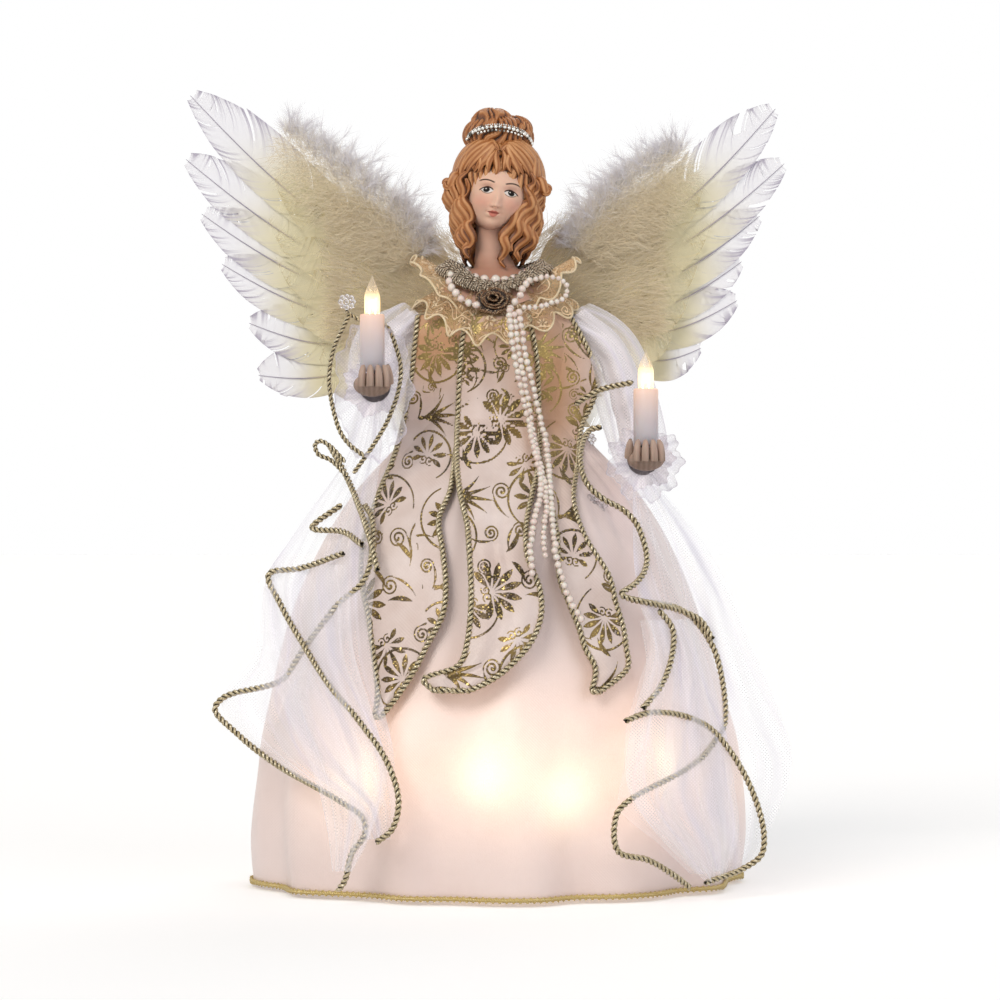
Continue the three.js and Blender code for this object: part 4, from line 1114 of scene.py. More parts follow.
class Ornament:
    """Foil or thread ornament on one repeat of a cloth, drawn with strokes of changing width."""

    FINE = 0.12

    def __init__(self, width: float, height: float) -> None:
        """Starts an empty repeat.

        Args:
            width: the repeat's width in millimetres.
            height: its height.
        """
        self.size = (width, height)
        self.cell = np.zeros((int(height / self.FINE), int(width / self.FINE)))

    def stroke(self, path: Array, half: Array | float) -> None:
        """Draws along a path.

        Args:
            path: N by 2 points in millimetres.
            half: half the stroke's width, one for all or one for each point.
        """
        gone = np.concatenate([[0], np.cumsum(np.linalg.norm(np.diff(path, axis=0), axis=1))])
        want = np.arange(0, gone[-1] + 0.1, 0.14)
        x = np.interp(want, gone, path[:, 0])
        y = np.interp(want, gone, path[:, 1])
        r = np.interp(want, gone, np.broadcast_to(half, (len(path),)))
        rows, columns = self.cell.shape
        for px, py, pr in zip(x, y, r):
            n = int(pr / self.FINE) + 2
            u, v = int(px / self.FINE), int(py / self.FINE)
            dy, dx = np.mgrid[-n : n + 1, -n : n + 1]
            away = np.hypot((u + dx + 0.5) * self.FINE - px, (v + dy + 0.5) * self.FINE - py)
            ink = np.clip((pr - away) / 0.2 + 0.5, 0, 1)
            at = ((v + dy) % rows, (u + dx) % columns)
            self.cell[at] = np.maximum(self.cell[at], ink)

    def petal(
        self, centre: tuple[float, float], heading: float, start: float, length: float, half: float,
        bend: float = 0.0
    ) -> None:
        """Draws a teardrop that swells away from its centre.

        Args:
            centre: where its stem points to.
            heading: its direction in radians.
            start: how far from the centre it begins.
            length: how far from the centre it ends.
            half: half its greatest width.
            bend: how far it curves, in radians.
        """
        s = np.linspace(0, 1, 24)
        turn = heading + bend * s
        r = start + (length - start) * s
        path = np.stack([centre[0] + r * np.cos(turn), centre[1] + r * np.sin(turn)], axis=1)
        self.stroke(path, np.maximum(half * np.sin(math.pi * np.clip(s, 0.02, 0.96) ** 1.7) ** 0.8, 0.1))

    def palmette(
        self, centre: tuple[float, float], heading: float, petals: int, length: float, ring: float = 0.0
    ) -> None:
        """Draws a fan of petals with two curls at its foot, and a ring round it where it has one."""
        for n in range(petals):
            share = n / (petals - 1) - 0.5
            reach = length * (1 - 0.5 * abs(share) ** 1.5)
            self.petal(centre, heading + share * 3.7, 1.4, reach, 0.112 * length, 0.25 * share)
        for hand in (-1, 1):
            foot = heading + math.pi - hand * 0.7
            self.scroll(
                (centre[0] + 1.9 * math.cos(foot), centre[1] + 1.9 * math.sin(foot)), foot, 1.2, 1.5,
                hand, 0.26
            )
        if ring:
            turn = np.linspace(heading - 2.5, heading + 2.3, 60)
            reach = ring * (1 - 0.1 * np.cos(turn - heading))
            path = np.stack([centre[0] + reach * np.cos(turn), centre[1] + reach * np.sin(turn)], axis=1)
            path += 0.12 * ring * np.array([math.cos(heading), math.sin(heading)])
            self.stroke(path, 0.24 + 0.16 * np.sin(np.linspace(0, math.pi, 60)))

    def scroll(
        self, centre: tuple[float, float], start: float, turns: float, radius: float, hand: int,
        half: float = 0.34
    ) -> None:
        """Draws a curl that winds in to its centre."""
        s = np.linspace(0, 1, 70)
        turn = start + hand * TURN * turns * s
        reach = radius * (1 - s) ** 0.8 + 0.15
        path = np.stack([centre[0] + reach * np.cos(turn), centre[1] + reach * np.sin(turn)], axis=1)
        self.stroke(path, half * (0.7 + 0.5 * s))

    def stem(
        self, start: tuple[float, float], heading: float, length: float, bend: float, half: float
    ) -> None:
        """Draws a long leaf or a stem that curves and tapers."""
        s = np.linspace(0, 1, 40)
        turn = heading + bend * s
        step = length / 39
        path = np.array(start) + np.cumsum(np.stack([np.cos(turn), np.sin(turn)], axis=1) * step, axis=0)
        self.stroke(path, np.maximum(half * np.sin(math.pi * np.clip(s, 0.03, 0.97) ** 0.8), 0.13))

    def read(self, across: Array, up: Array) -> Array:
        """The ornament at places on the cloth, each second repeat dropped by half its height."""
        width, height = self.size
        column = np.floor(across / width)
        rows, columns = self.cell.shape
        u = (across / width - column) * columns - 0.5
        v = ((up / height + 0.5 * (column % 2)) % 1.0) * rows - 0.5
        iu, iv = np.floor(u).astype(int), np.floor(v).astype(int)
        fu, fv = u - iu, v - iv
        value = 0.0
        for du, wu in ((0, 1 - fu), (1, fu)):
            for dv, wv in ((0, 1 - fv), (1, fv)):
                value = value + self.cell[(iv + dv) % rows, (iu + du) % columns] * wu * wv
        return value


def brocade_ornament() -> Ornament:
    """Palmettes, curls and long leaves for the robe's cloth.

    Returns:
        The drawn repeat.
    """
    o = Ornament(45.0, 58.0)
    o.palmette((13, 42), -2.0, 9, 9.0, ring=10.6)
    o.palmette((20.5, 46.5), 0.35, 9, 10.5)
    o.palmette((35, 20), 2.2, 8, 8.5, ring=10.0)
    o.palmette((30, 32), -1.1, 7, 7.5)
    o.palmette((6, 6), 1.2, 7, 7.5, ring=8.6)
    for centre, start, radius, hand in (
        ((38, 8.5), 0.4, 3.3, 1), (
            (29.5, 9.5), 2.6, 2.5, -1
        ), ((43, 34), 1.9, 2.7, 1), ((22.5, 22), 3.4, 2.9, -1),
        ((2.5, 27), 0.2, 2.4, 1), ((18, 55), 4.2, 2.3, -1),
        ((33.5, 51), 1.2, 3.1, 1), ((19.5, 8), 5.0, 2.5, 1),
    ):
        o.scroll(centre, start, 1.9, radius, hand)
        tail = (centre[0] + radius * math.cos(start), centre[1] + radius * math.sin(start))
        o.stem(tail, start - hand * 1.5, 3.4 * radius, -hand * 0.9, 0.42)
    for n, bend in enumerate((-1.0, -0.55, -0.12, 0.35, 0.85)):
        o.stem((3.5, 20.5 - 0.4 * n), 0.1 * (n - 2), 17 - 1.7 * abs(n - 2), bend, 0.72)
    for start, heading, length, bend in (
        ((41, 45), 2.6, 9, 0.8), ((27, 57), -0.5, 8, -0.9),
        ((12, 29), 2.4, 8, -0.7), ((25, 2), 0.7, 9, 0.8), ((42, 1), 1.9, 8, 0.7),
    ):
        o.stem(start, heading, length, bend, 0.85)
    return o


def lace_ornament() -> Ornament:
    """Small flowers, loops and waves for the lace.

    Returns:
        The drawn repeat.
    """
    o = Ornament(15.0, 12.0)
    for n in range(6):
        o.petal((4, 6.5), TURN * n / 6, 0.5, 2.6, 0.5)
        o.petal((11.3, 3.2), TURN * n / 6 + 0.3, 0.3, 1.7, 0.34)
    o.scroll((10.6, 9.2), 0.6, 1.5, 1.9, 1, 0.22)
    o.scroll((6.6, 1.6), 2.4, 1.2, 1.3, -1, 0.2)
    wave = np.linspace(0, 15, 60)
    for base, phase in ((0.3, 0.0), (5.2, 2.0), (10.9, 4.0)):
        o.stroke(np.stack([wave, base + 0.9 * np.sin(TURN * wave / 7.5 + phase)], axis=1), 0.2)
    return o


# Skirt


@dataclass
class Skirt:
    """The full satin skirt with its overlocked hem."""

    around: int = 660
    rows: int = 130

    def surface(self, height: Array, angle: Array, out: float = 0.0) -> Array:
        """Points of the cloth.

        Args:
            height: heights in millimetres.
            angle: angles round the axis.
            out: how far outside the cloth.

        Returns:
            An array of points, as the two were broadcast.
        """
        reach = FIGURE.fold_reach(height)
        fold = reach * (np.cos(FIGURE.folds * angle) + 0.4 * np.cos(5 * angle + 1))
        wander = 0.35 * reach * np.sin(7 * angle + 0.02 * height) + 0.22 * reach * np.cos(
            23 * angle + 0.035 * height
        )
        gather = 0.75 * stepped(120, 190, height) * np.cos(46 * angle + 2 * np.sin(3 * angle)) * (
            1 - stepped(190, 196, height) * 0.5
        )
        sag = 0.5 * reach * np.sin(0.055 * height + 3 * np.sin(2 * angle)) * np.sin(4 * angle + 0.6)
        radius = FIGURE.skirt_width(height) + fold + wander + gather + sag + out
        depth = FIGURE.depth_share(height)
        return np.stack(
            [radius * np.cos(angle), radius * depth * np.sin(angle), height + 0.0 * angle], axis=-1
        )

    def build(self, finishes: Finishes) -> None:
        """Makes the cloth and its hem and puts them on the figure."""
        height = np.linspace(FIGURE.hem + 0.6, FIGURE.skirt_top, self.rows)[:, None]
        angle = np.linspace(0, TURN, self.around, endpoint=False)[None, :]
        cloth = as_object(
            "skirt_cloth", grid(self.surface(height, angle), loop_v=True), finishes["skirt_satin"]
        )
        placed(cloth, "figure", ["skirt"])
        turn = np.linspace(0, TURN, 1500, endpoint=False)
        line = self.surface(np.full_like(turn, 2.5), turn, 0.9)
        zigzag = line.copy()
        away = line[:, :2] / np.linalg.norm(line[:, :2], axis=1, keepdims=True)
        zigzag[:, :2] += away * (0.55 * np.abs(np.sin(turn * 240)))[:, None]
        zigzag[:, 2] += 1.15 * np.sin(turn * 240)
        threads = [tube(zigzag, 0.33, 5, closed=True), twisted(line, 0.85, 3.0, closed=True)]
        threads[0].values["crest"] = np.full(len(threads[0].points), 0.95)
        hem = as_object("skirt_overlock", together(threads), finishes["hem_thread"])
        placed(hem, "figure", ["skirt_hem_cord"])


# Robe


@dataclass
class HangingCloth:
    """A cloth that hangs in front, from rows of height, one edge, the other edge and forward."""

    name: str
    rows: Sequence[tuple[float, ...]]
    layer: float
    steps: int
    columns: int
    fold: Callable[[Array, Array], Array]
    settle: tuple[float, float, float] = (0.0, 0.0, 1.0)

    def layer_at(self, height: Array) -> Array:
        """The cloth's distance out, drawn in to the bodice at its top."""
        low, high, share = self.settle
        if high <= low:
            return np.full_like(height, self.layer)
        return self.layer * (1 - (1 - share) * stepped(low, high, height))

    def edges(self, steps: int) -> tuple[Array, Array]:
        """The two edges as (across, forward, height) rows, left first."""
        table = [(*row, 0.0)[:4] for row in self.rows]
        sides = [spline([(row[k], row[3], row[0]) for row in table], steps) for k in (1, 2)]
        swap = sides[0][:, 0] > sides[1][:, 0]
        left = np.where(swap[:, None], sides[1], sides[0])
        return left, np.where(swap[:, None], sides[0], sides[1])

    def surface(self) -> tuple[Array, Array]:
        """The cloth's points, and its share across at each."""
        left, right = self.edges(self.steps)
        share = np.linspace(0, 1, self.columns)[None, :]
        across = left[:, :1] + (right[:, :1] - left[:, :1]) * share
        height = left[:, 2:3] + (right[:, 2:3] - left[:, 2:3]) * share
        forward = left[:, 1:2] + (right[:, 1:2] - left[:, 1:2]) * share
        y = FIGURE.front(across, height, self.layer_at(height)) - forward - self.fold(share, height)
        return np.stack([across, y, height], axis=-1), share + 0 * height

    def edge_line(self, side: int, out: float) -> Array:
        """The route of a cord down one edge, out from the cloth."""
        surface, _ = self.surface()
        line = surface[:, 0 if side < 0 else -1].copy()
        line[:, 1] -= out
        return line


BEAD_PIXELS = ((594, 437), (594, 499), (603, 506))


@dataclass
class Robe:
    """The brocade bodice and the three corded front panels."""

    ornament: Ornament
    cord_radius: float = 1.3
    cord_pitch: float = 4.4
    foil_scale: float = 1.2

    PANEL_STEPS = 400
    LEFT_ROWS = [
        (74, -47.5, -45), (83, -46.5, -38), (93, -47.5, -31.5),
        (103, -49, -26.5), (115, -51, -20.5), (127, -53.7, -19.5),
        (141, -53.5, -21), (152, -51, -22.5), (164, -47, -18),
        (180, -41, -16), (198, -37, -13), (214, -34.5, -11), (237, -32, -9),
    ]
    CENTRE_ROWS = [
        (85, -24, -10), (89, -28, -1.5), (95, -14, 6.5),
        (104, -10.8, 14.4), (114, -9.6, 18.3), (125, -9.3, 17.8),
        (138, -10, 12.9), (150, -11, 12.7), (162, -13.8, 15),
        (175, -15.4, 18), (204, -15, 18), (220, -14, 17), (236, -12, 14),
    ]
    RIGHT_ROWS = [
        (84, 38.5, 42), (93, 40, 53), (101, 36, 52.5),
        (109, 33.6, 51.4), (118, 30, 48.7), (129, 26, 46), (146, 25, 36),
        (160, 22.5, 32), (175, 19, 34), (190, 15, 36),
        (202, 13, 41), (212, 12, 43), (226, 11, 37), (237, 10, 31),
    ]

    @staticmethod
    def left_fold(share: Array, z: Array) -> Array:
        """How far the left panel's folds stand out."""
        flute = 0.5 * np.sin(9 * share + 0.04 * z) * stepped(215, 150, z) * 0.8
        return 0.3 * (1 - np.cos(TURN * share)) + flute

    @staticmethod
    def centre_fold(share: Array, z: Array) -> Array:
        """How far the centre panel's two flutes and its pressed ridge stand out."""
        ridge = np.exp(-(((share - 0.52) / 0.07) ** 2))
        return 0.7 * (1 - np.cos(2 * TURN * share)) + 0.9 * ridge * stepped(90, 130, z)

    @staticmethod
    def right_fold(share: Array, z: Array) -> Array:
        """How far the right panel's folds stand out."""
        return 0.3 * (1 - np.cos(TURN * share)) + 0.6 * np.sin(8 * share + 0.05 * z) * stepped(225, 180, z)

    def foil(self, points: Array, shift: tuple[float, float], tilt: float) -> Array:
        """The ornament on a cloth, cut from its own place on the roll.

        Args:
            points: the cloth's points.
            shift: where the cut begins.
            tilt: how far the cut is turned from the straight of the cloth.

        Returns:
            0 on the ground and 1 on foil at each point.
        """
        flat = points.reshape(points.shape[0], points.shape[1], 3)
        step = np.linalg.norm(np.diff(flat, axis=1), axis=2)
        middle = points.shape[1] // 2
        run = np.concatenate([np.zeros((len(flat), 1)), np.cumsum(step, axis=1)], axis=1)
        across = run - run[:, middle : middle + 1] + flat[:, middle : middle + 1, 0]
        up = flat[:, :, 2]
        c, s = math.cos(tilt), math.sin(tilt)
        across, up = across / self.foil_scale, up / self.foil_scale
        first = self.ornament.read(c * across + s * up + shift[0], c * up - s * across + shift[1])
        second = self.ornament.read(
            1.5 * (c * across - s * up) + shift[1] + 9, 1.5 * (c * up + s * across) + shift[0] + 5
        )
        return np.maximum(
            first, second * stepped(196, 206, flat[:, :, 2]) * (0.5 + 0.5 * np.sin(0.5 * across) > 0.35)
        )

    @staticmethod
    def warmth(points: Array) -> Array:
        """How warm the painted light of the lamps makes the cloth at each point."""
        x, z = points[..., 0], points[..., 2]
        return np.clip(
            bump(x, z, (24, 207), (14, 34)) + 1.2 * bump(
                x, z, (-28, 230), (15, 22)
            ) + 0.6 * bump(x, z, (0, 232), (24, 18)), 0, 1
        )

    def cloth(
        self, name: str, points: Array, finishes: Finishes, shift: tuple[float, float], tilt: float,
        **loop: bool
    ) -> bpy.types.Object:
        """One cut of brocade as a piece."""
        mesh = grid(points, **loop)
        mesh.values["foil"] = self.foil(points, shift, tilt).ravel()
        mesh.values["warmth"] = self.warmth(points).ravel()
        return as_object(name, mesh, finishes["brocade"], thick=0.5)

    def panel(
        self, cloth: HangingCloth, node: str, finishes: Finishes, shift: tuple[float, float],
        tilt: float
    ) -> None:
        """A front panel with its twisted cord."""
        points, _ = cloth.surface()
        piece = self.cloth(f"{cloth.name}_cloth", points, finishes, shift, tilt)
        placed(piece, "figure", [node])
        route = np.vstack(
            [cloth.edge_line(-1, 0.3)[::-1], points[0, 1:-1] - (0, 0.3, 0), cloth.edge_line(1, 0.3)]
        )
        cord = as_object(
            f"{cloth.name}_cord", twisted(
                route, self.cord_radius, self.cord_pitch, 2
            ), finishes["gold_cord"]
        )
        placed(cord, "figure")

    def build(self, finishes: Finishes) -> None:
        """Makes the bodice and the panels and puts them on the figure."""
        height = np.linspace(FIGURE.bodice_hem, FIGURE.torso_top, 130)[:, None]
        angle = np.linspace(0, TURN, 500, endpoint=False)[None, :]
        half = FIGURE.torso_width(height) + FIGURE.bodice_off - 0.6
        pucker = 0.35 * np.cos(17 * angle + 0.05 * height) + 0.25 * np.cos(9 * angle)
        depth = half * FIGURE.torso_depth + (FIGURE.bodice_off - 0.6) * (1 - FIGURE.torso_depth)
        points = np.stack(
            [(half + pucker) * np.cos(angle), (depth + pucker) * np.sin(angle), height + 0 * angle],
            axis=-1
        )
        bodice = self.cloth("bodice_cloth", points, finishes, (6, 12), 0.0, loop_v=True)
        placed(bodice, "figure", ["bodice"])
        panels = (
            ("left", self.LEFT_ROWS, 3.2, 104, self.left_fold, (170, 205, 0.25)),
            ("centre", self.CENTRE_ROWS, 7.4, 96, self.centre_fold, (178, 212, 0.3)),
            ("right", self.RIGHT_ROWS, 3.2, 90, self.right_fold, (165, 205, 0.25)),
        )
        cuts = (
            ((11, 30), 0.12, (0.052, 0.185, 0.62)),
            ((27, 2), -0.05, (0.05, 0.19, 0.62)),
            ((3, 44), 0.2, (0.05, 0.18, 0.42)),
        )
        for (word, rows, layer, columns, fold, settle), (shift, tilt, flat) in zip(panels, cuts):
            name = f"front_panel_{word}"
            cloth = HangingCloth(name, rows, layer, self.PANEL_STEPS, columns, fold, settle)
            self.panel(cloth, name, finishes, shift, tilt)
        for n, ((x, z, _), rays) in enumerate(zip(front_points(BEAD_PIXELS, 60), (6, 5, 5))):
            turn = np.linspace(0, TURN, rays, endpoint=False)
            ring = Skirt().surface(np.full(1440, z), np.linspace(0, TURN, 1440))
            near = ring[ring[:, 1] < 0]
            y = float(near[np.argmin(np.abs(near[:, 0] - x)), 1]) - 0.6
            petals = np.stack([x + 1.7 * np.cos(turn), y + 0 * turn, z + 1.7 * np.sin(turn)], axis=1)
            bead = beads(np.vstack([petals, [[x, y - 0.6, z]]]), 1.0)
            put(f"robe_bead_{n + 1}", bead, finishes["crystal"], "figure")
        log.info("robe: bodice, three panels and three beads")


# Head


@dataclass
class Head:
    """The cast head: painted face and neck, dressed hair and bead tiara."""

    face_centre: tuple[float, float, float] = (0.86, -3.2, 43.9)
    face_radii: tuple[float, float, float] = (12.4, 14.0, 14.6)
    hair_centre: tuple[float, float, float] = (1.0, 4.0, 50.0)
    hair_radii: tuple[float, float, float] = (16.6, 17.0, 21.2)
    crown_centre: tuple[float, float, float] = (-0.2, 2.4, 69.4)
    crown_radii: tuple[float, float, float] = (13.6, 12.0, 8.4)
    pivot: tuple[float, float, float] = (0.86, 0.0, 43.5)
    tilt: float = 0.06
    feature_tilt: float = 0.1

    KNOTS = (((-2.8, 1.5, 73.2), (8.2, 8.2, 7.6)), ((6.2, 2.0, 71.6), (7.0, 7.4, 6.6)))
    OUTER = (
        ((13, -9), (20, -11.5), (26.5, -15), (36, -16.6), (43, -19.4), (50, -18.2), (55, -15)),
        ((13, 13.5), (20, 14), (28, 18.2), (35, 18), (42, 18.6), (50, 18.2), (55, 17)),
    )
    INNER = (
        ((13, -8), (20, -10), (30, -9.6), (38, -11.6), (45, -12.6), (52, -11.4)),
        ((13, 6.4), (20, 4.6), (26, 5.6), (32, 7), (36, 10), (45, 14), (52, 13)),
    )

    def placed(self, mesh: Mesh) -> Mesh:
        """A mesh drawn from the neck's seat, tilted with the head and set on the seat."""
        return mesh.turned(self.tilt, "Y", self.pivot).moved((0, 0, SEAT_HEIGHT))

    def face(self) -> Mesh:
        """The face: a calm doll's face with painted eyes, brows, lips and cheeks, painted shade under the
        chin and a painted highlight in each eye.
        """
        lon = np.linspace(-1.75, 1.75, 330)[None, :]
        lat = np.linspace(-1.5, 1.5, 330)[:, None]
        normal = np.stack(
            [np.sin(lon) * np.cos(lat), -np.cos(lon) * np.cos(lat), np.sin(lat) + 0 * lon], axis=-1
        )
        points = np.array(self.face_centre) + np.array(self.face_radii) * normal
        u, w = points[..., 0] - self.face_centre[0] - 0.6, points[..., 2] - self.face_centre[2]
        c, s = math.cos(self.feature_tilt), math.sin(self.feature_tilt)
        p, q = c * u - s * w, s * u + c * w
        p, q = p / 0.97, 1.3 + (q - 1.0) / 0.88
        lift = 3.0 * np.exp(-((p / 1.5) ** 2)) * stepped(3.4, -4.0, q) * stepped(-6.6, -4.6, q)
        for side in (-1, 1):
            lift += 0.9 * bump(
                p, q, (side * 1.5, -5.1), (1.0, 1.0)
            ) - 1.3 * bump(p, q, (side * 5.2, 2.0), (3.0, 2.2))
            lift += 0.8 * bump(
                p, q, (side * 5.5, 1.1), (2.3, 1.5)
            ) + 0.5 * bump(p, q, (side * 5.0, 5.0), (3.6, 1.4))
            lift += 1.0 * bump(
                p, q, (side * 6.6, -5.0), (3.6, 4.0)
            ) - 0.3 * bump(p, q, (side * 3.0, -8.6), (0.7, 0.9))
        lift += 0.9 * bump(
            p, q, (0, -7.7), (2.4, 0.8)
        ) + 1.0 * bump(p, q, (0, -9.7), (2.1, 0.9)) - 0.55 * bump(p, q, (0, -8.65), (2.4, 0.35))
        lift += 1.2 * bump(
            p, q, (0, -13.4), (3.2, 2.2)
        ) - 0.6 * bump(p, q, (0, -11.4), (2.8, 0.9)) - 0.25 * bump(p, q, (0, -6.6), (0.5, 0.8))
        points = points + normal * (lift * (np.cos(lon) > 0))[..., None]
        points[..., 0] += 0.15 * np.minimum(w + 2, 0) - (
            points[..., 0] - self.face_centre[0]
        ) * 0.07 * stepped(-3, -13, w)
        skin, blush, lip = (np.array(colour(code)[:3]) for code in ("f0c8b0", "e09c88", "c8685a"))
        dark, white, iris = (np.array(colour(code)[:3]) for code in ("2c1710", "e9e2dc", "0f0907"))
        paint = np.broadcast_to(skin, (*p.shape, 3)).copy()

        def brushed(mask: Array, tint: Array) -> None:
            """Lays a tint over the paint where the mask is."""
            nonlocal paint
            paint = paint + np.clip(mask, 0, 1)[..., None] * (tint - paint)

        # painted shade: the face darkens below the mouth towards the underside of the chin
        brushed(0.4 * stepped(-11.5, -16, q), np.array(colour("b98272")[:3]))
        for side in (-1, 1):
            brushed(0.6 * bump(p, q, (side * 6.6, -4.2), (4.2, 3.6)), blush)
            brushed(0.5 * bump(p, q, (side * 5.4, 3.2), (3.2, 1.5)), np.array(colour("b57868")[:3]))
            e = (p - side * 5.5) * side
            lid = 1.5 * (1 - (e / 2.9) ** 2) - 0.14 * e
            brushed(stepped(0, 0.22, lid - np.abs(q - 1.3)), white)
            brushed(stepped(1.5, 1.25, np.hypot(p - side * 5.5, q - 1.45)) * (np.abs(q - 1.3) < lid), iris)
            # painted highlight: a small white glint in each eye
            brushed(stepped(0.38, 0.22, np.hypot(p - side * 5.5 + 0.4, q - 1.9)), white)
            brushed(stepped(0.5, 0.26, np.abs(q - 1.4 - lid)) * (np.abs(e) < 3.0), dark)
            brushed(0.6 * stepped(0.32, 0.14, np.abs(q - 1.2 + lid)) * (np.abs(e) < 2.7), dark)
            brow = 4.9 + 1.2 * np.sin(np.clip((e + 2.9) / 6.4, 0, 1) * math.pi * 0.8) - 0.12 * e
            brushed(
                0.95 * stepped(0.5, 0.26, np.abs(q - brow)) * stepped(-3.6, -2.6, e) * stepped(4.1, 2.6, e),
                dark
            )
            brushed(
                0.6 * stepped(0.5, 0.2, np.hypot(p - side * 1.1, q + 6.0)),
                np.array(colour("96503f")[:3])
            )
        bow = 1.15 * (1 - (p / 2.8) ** 2) + 0.22 * np.exp(-(((np.abs(p) - 0.8) / 0.5) ** 2))
        brushed(0.9 * stepped(-0.1, 0.2, bow - (q + 8.65)) * (q >= -8.65), lip)
        brushed(0.8 * stepped(-0.1, 0.25, 1.5 * (1 - (p / 2.4) ** 2) + (q + 8.65)) * (q < -8.65), lip)
        brushed(
            0.7 * stepped(0.28, 0.1, np.abs(q + 8.65)) * (np.abs(p) < 2.7),
            np.array(colour("7c3329")[:3])
        )
        mesh = grid(points)
        mesh.values["paint"] = paint.reshape(-1, 3)
        return self.placed(mesh)

    def neck(self, collar: "Collar") -> Mesh:
        """The neck, which widens into the bust under the collar."""
        angle = np.linspace(0, TURN, 96, endpoint=False)[None, :]
        rise = np.linspace(290, 259, 40)[:, None]
        radius = 6.6 + 1.8 * stepped(266, 258, rise)
        aside = -1.6 * stepped(257, 266, rise)
        column = np.stack(
            [aside + radius * np.cos(angle), radius * np.sin(angle) * 0.95 - 0.8, rise + 0 * angle],
            axis=-1
        )
        share = np.linspace(0.05, 0.62, 30)[:, None]
        bust = collar.surface(share, angle, 0.9 - 0.9 * share)
        mesh = grid(np.vstack([column, bust]), loop_v=True)
        shadow = np.exp(
            -(((mesh.points[:, 2] - 255) / 9) ** 2)
        ) + 0.5 * stepped(266, 272, mesh.points[:, 2])
        skin, under = np.array(colour("dcb4a0")[:3]), np.array(colour("ad7a62")[:3])
        mesh.values["paint"] = skin + (under - skin) * np.clip(0.75 * shadow, 0, 1)[:, None]
        return mesh

    @staticmethod
    def lock(
        line: Array, radius: float, centre: Sequence[float], swell: float = 0.55, ridges: int = 5
    ) -> Mesh:
        """One lock of hair: a tapered ridge with fine grooves along it.

        Args:
            line: points that it runs through.
            radius: its half width at its widest.
            centre: the middle of the head, which its back faces away from.
            swell: how blunt its ends are, 1 for pointed.
            ridges: how many ridges go round it.

        Returns:
            The mesh, with "crest" high on its back.
        """
        path = spline(line, 34)
        share = np.linspace(0, 1, len(path))
        tangent = np.gradient(path, axis=0)
        tangent /= np.linalg.norm(tangent, axis=1, keepdims=True)
        out = path - np.array(centre)
        side = np.cross(tangent, out)
        side /= np.linalg.norm(side, axis=1, keepdims=True)
        out = np.cross(side, tangent)
        angle = np.linspace(0, TURN, 20, endpoint=False)[None, :]
        ply = np.cos(ridges * angle + 2 * share[:, None])
        reach = radius * np.sin(math.pi * np.clip(share, 0.015, 0.985))[:, None] ** swell * (1 + 0.1 * ply)
        ring = side[:, None, :] * (reach * np.cos(angle))[..., None] + out[:, None, :] * (
            0.72 * reach * np.sin(angle)
        )[..., None]
        mesh = grid(path[:, None, :] + ring, loop_v=True)
        # crest is low on the side towards the head, where the hair finish paints shade, and high on the
        # back, where it paints highlight
        crest = (0.5 + 0.5 * np.sin(angle)) ** 0.8 * (0.76 + 0.24 * ply)
        mesh.values["crest"] = np.clip(
            crest * (0.75 + 0.25 * np.sin(math.pi * share))[:, None], 0, 1
        ).ravel()
        return mesh

    @staticmethod
    def on(centre: Sequence[float], radii: Sequence[float], az: Array, el: Array, k: float = 1.0) -> Array:
        """Points on an ellipsoid, az 0 at the front and el 0 at its middle height."""
        unit = np.stack([np.sin(az) * np.cos(el), -np.cos(az) * np.cos(el), np.sin(el)], axis=-1)
        return np.array(centre) + k * np.array(radii) * unit

    def combed(
        self, centre: Sequence[float], radii: Sequence[float], locks: int, sway: float, seed: float,
        across: int = 260, up: int = 120
    ) -> Mesh:
        """A rounded mass of combed hair: locks that run up it, with fine strands on them.

        Args:
            centre: its middle.
            radii: its half sizes.
            locks: how many locks stand round it.
            sway: how far they wave, in widths of a lock.
            seed: its own chance.
            across: how many points go round it.
            up: how many points go up it.

        Returns:
            The mesh, with "crest" high on the locks.
        """
        az = np.linspace(0, TURN, across, endpoint=False)[None, :]
        el = np.linspace(-1.53, 1.53, up)[:, None]
        wander = sway * np.sin(
            3.4 * el + 1.2 * np.sin(2 * az + seed) + seed
        ) + 0.5 * np.sin(5 * az + 2 * seed + 1.5 * el)
        phase = 0.5 * (locks * az + TURN * wander)
        body = np.abs(np.sin(phase)) ** 0.6
        strand = 0.5 + 0.5 * np.cos(8 * phase + 3 * np.sin(2 * el + seed))
        calm = np.cos(el) ** 0.4
        unit = np.stack([np.sin(az) * np.cos(el), -np.cos(az) * np.cos(el), np.sin(el) + 0 * az], axis=-1)
        lift = (1.9 * body + 0.22 * strand) * calm - 0.4
        mesh = grid(np.array(centre) + (np.array(radii) + lift[..., None]) * unit, loop_v=True)
        # crest is low between the locks, where the hair finish paints shade, and high on them, where it
        # paints highlight
        mesh.values["crest"] = np.clip(1.15 * body * (0.72 + 0.28 * strand) - 0.08, 0, 1).ravel()
        return mesh

    def cap(self) -> Mesh:
        """The combed masses: the cap, the roll under the tiara, the two knots and the back."""
        knots = [
            self.combed(centre, radii, 14, 0.5, 3.0 + n, 130, 50)
            for n, (centre, radii) in enumerate(self.KNOTS)
        ]
        cap = self.combed(self.hair_centre, self.hair_radii, 28, 0.55, 1.0, 300, 130)
        roll = self.combed(self.crown_centre, self.crown_radii, 24, 0.45, 2.0, 220, 60)
        back = self.combed((0.8, 10.0, 31.0), (13.4, 6.6, 19.0), 18, 0.6, 4.0, 150, 60)
        for part in (roll, *knots):
            part.values["crest"] = part.values["crest"] * 0.78
        return self.placed(together([cap, roll, back, *knots]))

    def locks(self) -> Mesh:
        """The loose locks: the swept front, the fringe, the side curls and the flicks."""
        middle, locks = self.hair_centre, []

        def laid(az: Array, height: Array, k: float) -> Array:
            """Points on the cap at given heights."""
            lift = np.arcsin(np.clip((height - middle[2]) / self.hair_radii[2], -0.98, 0.98))
            return self.on(middle, self.hair_radii, az, lift, k)

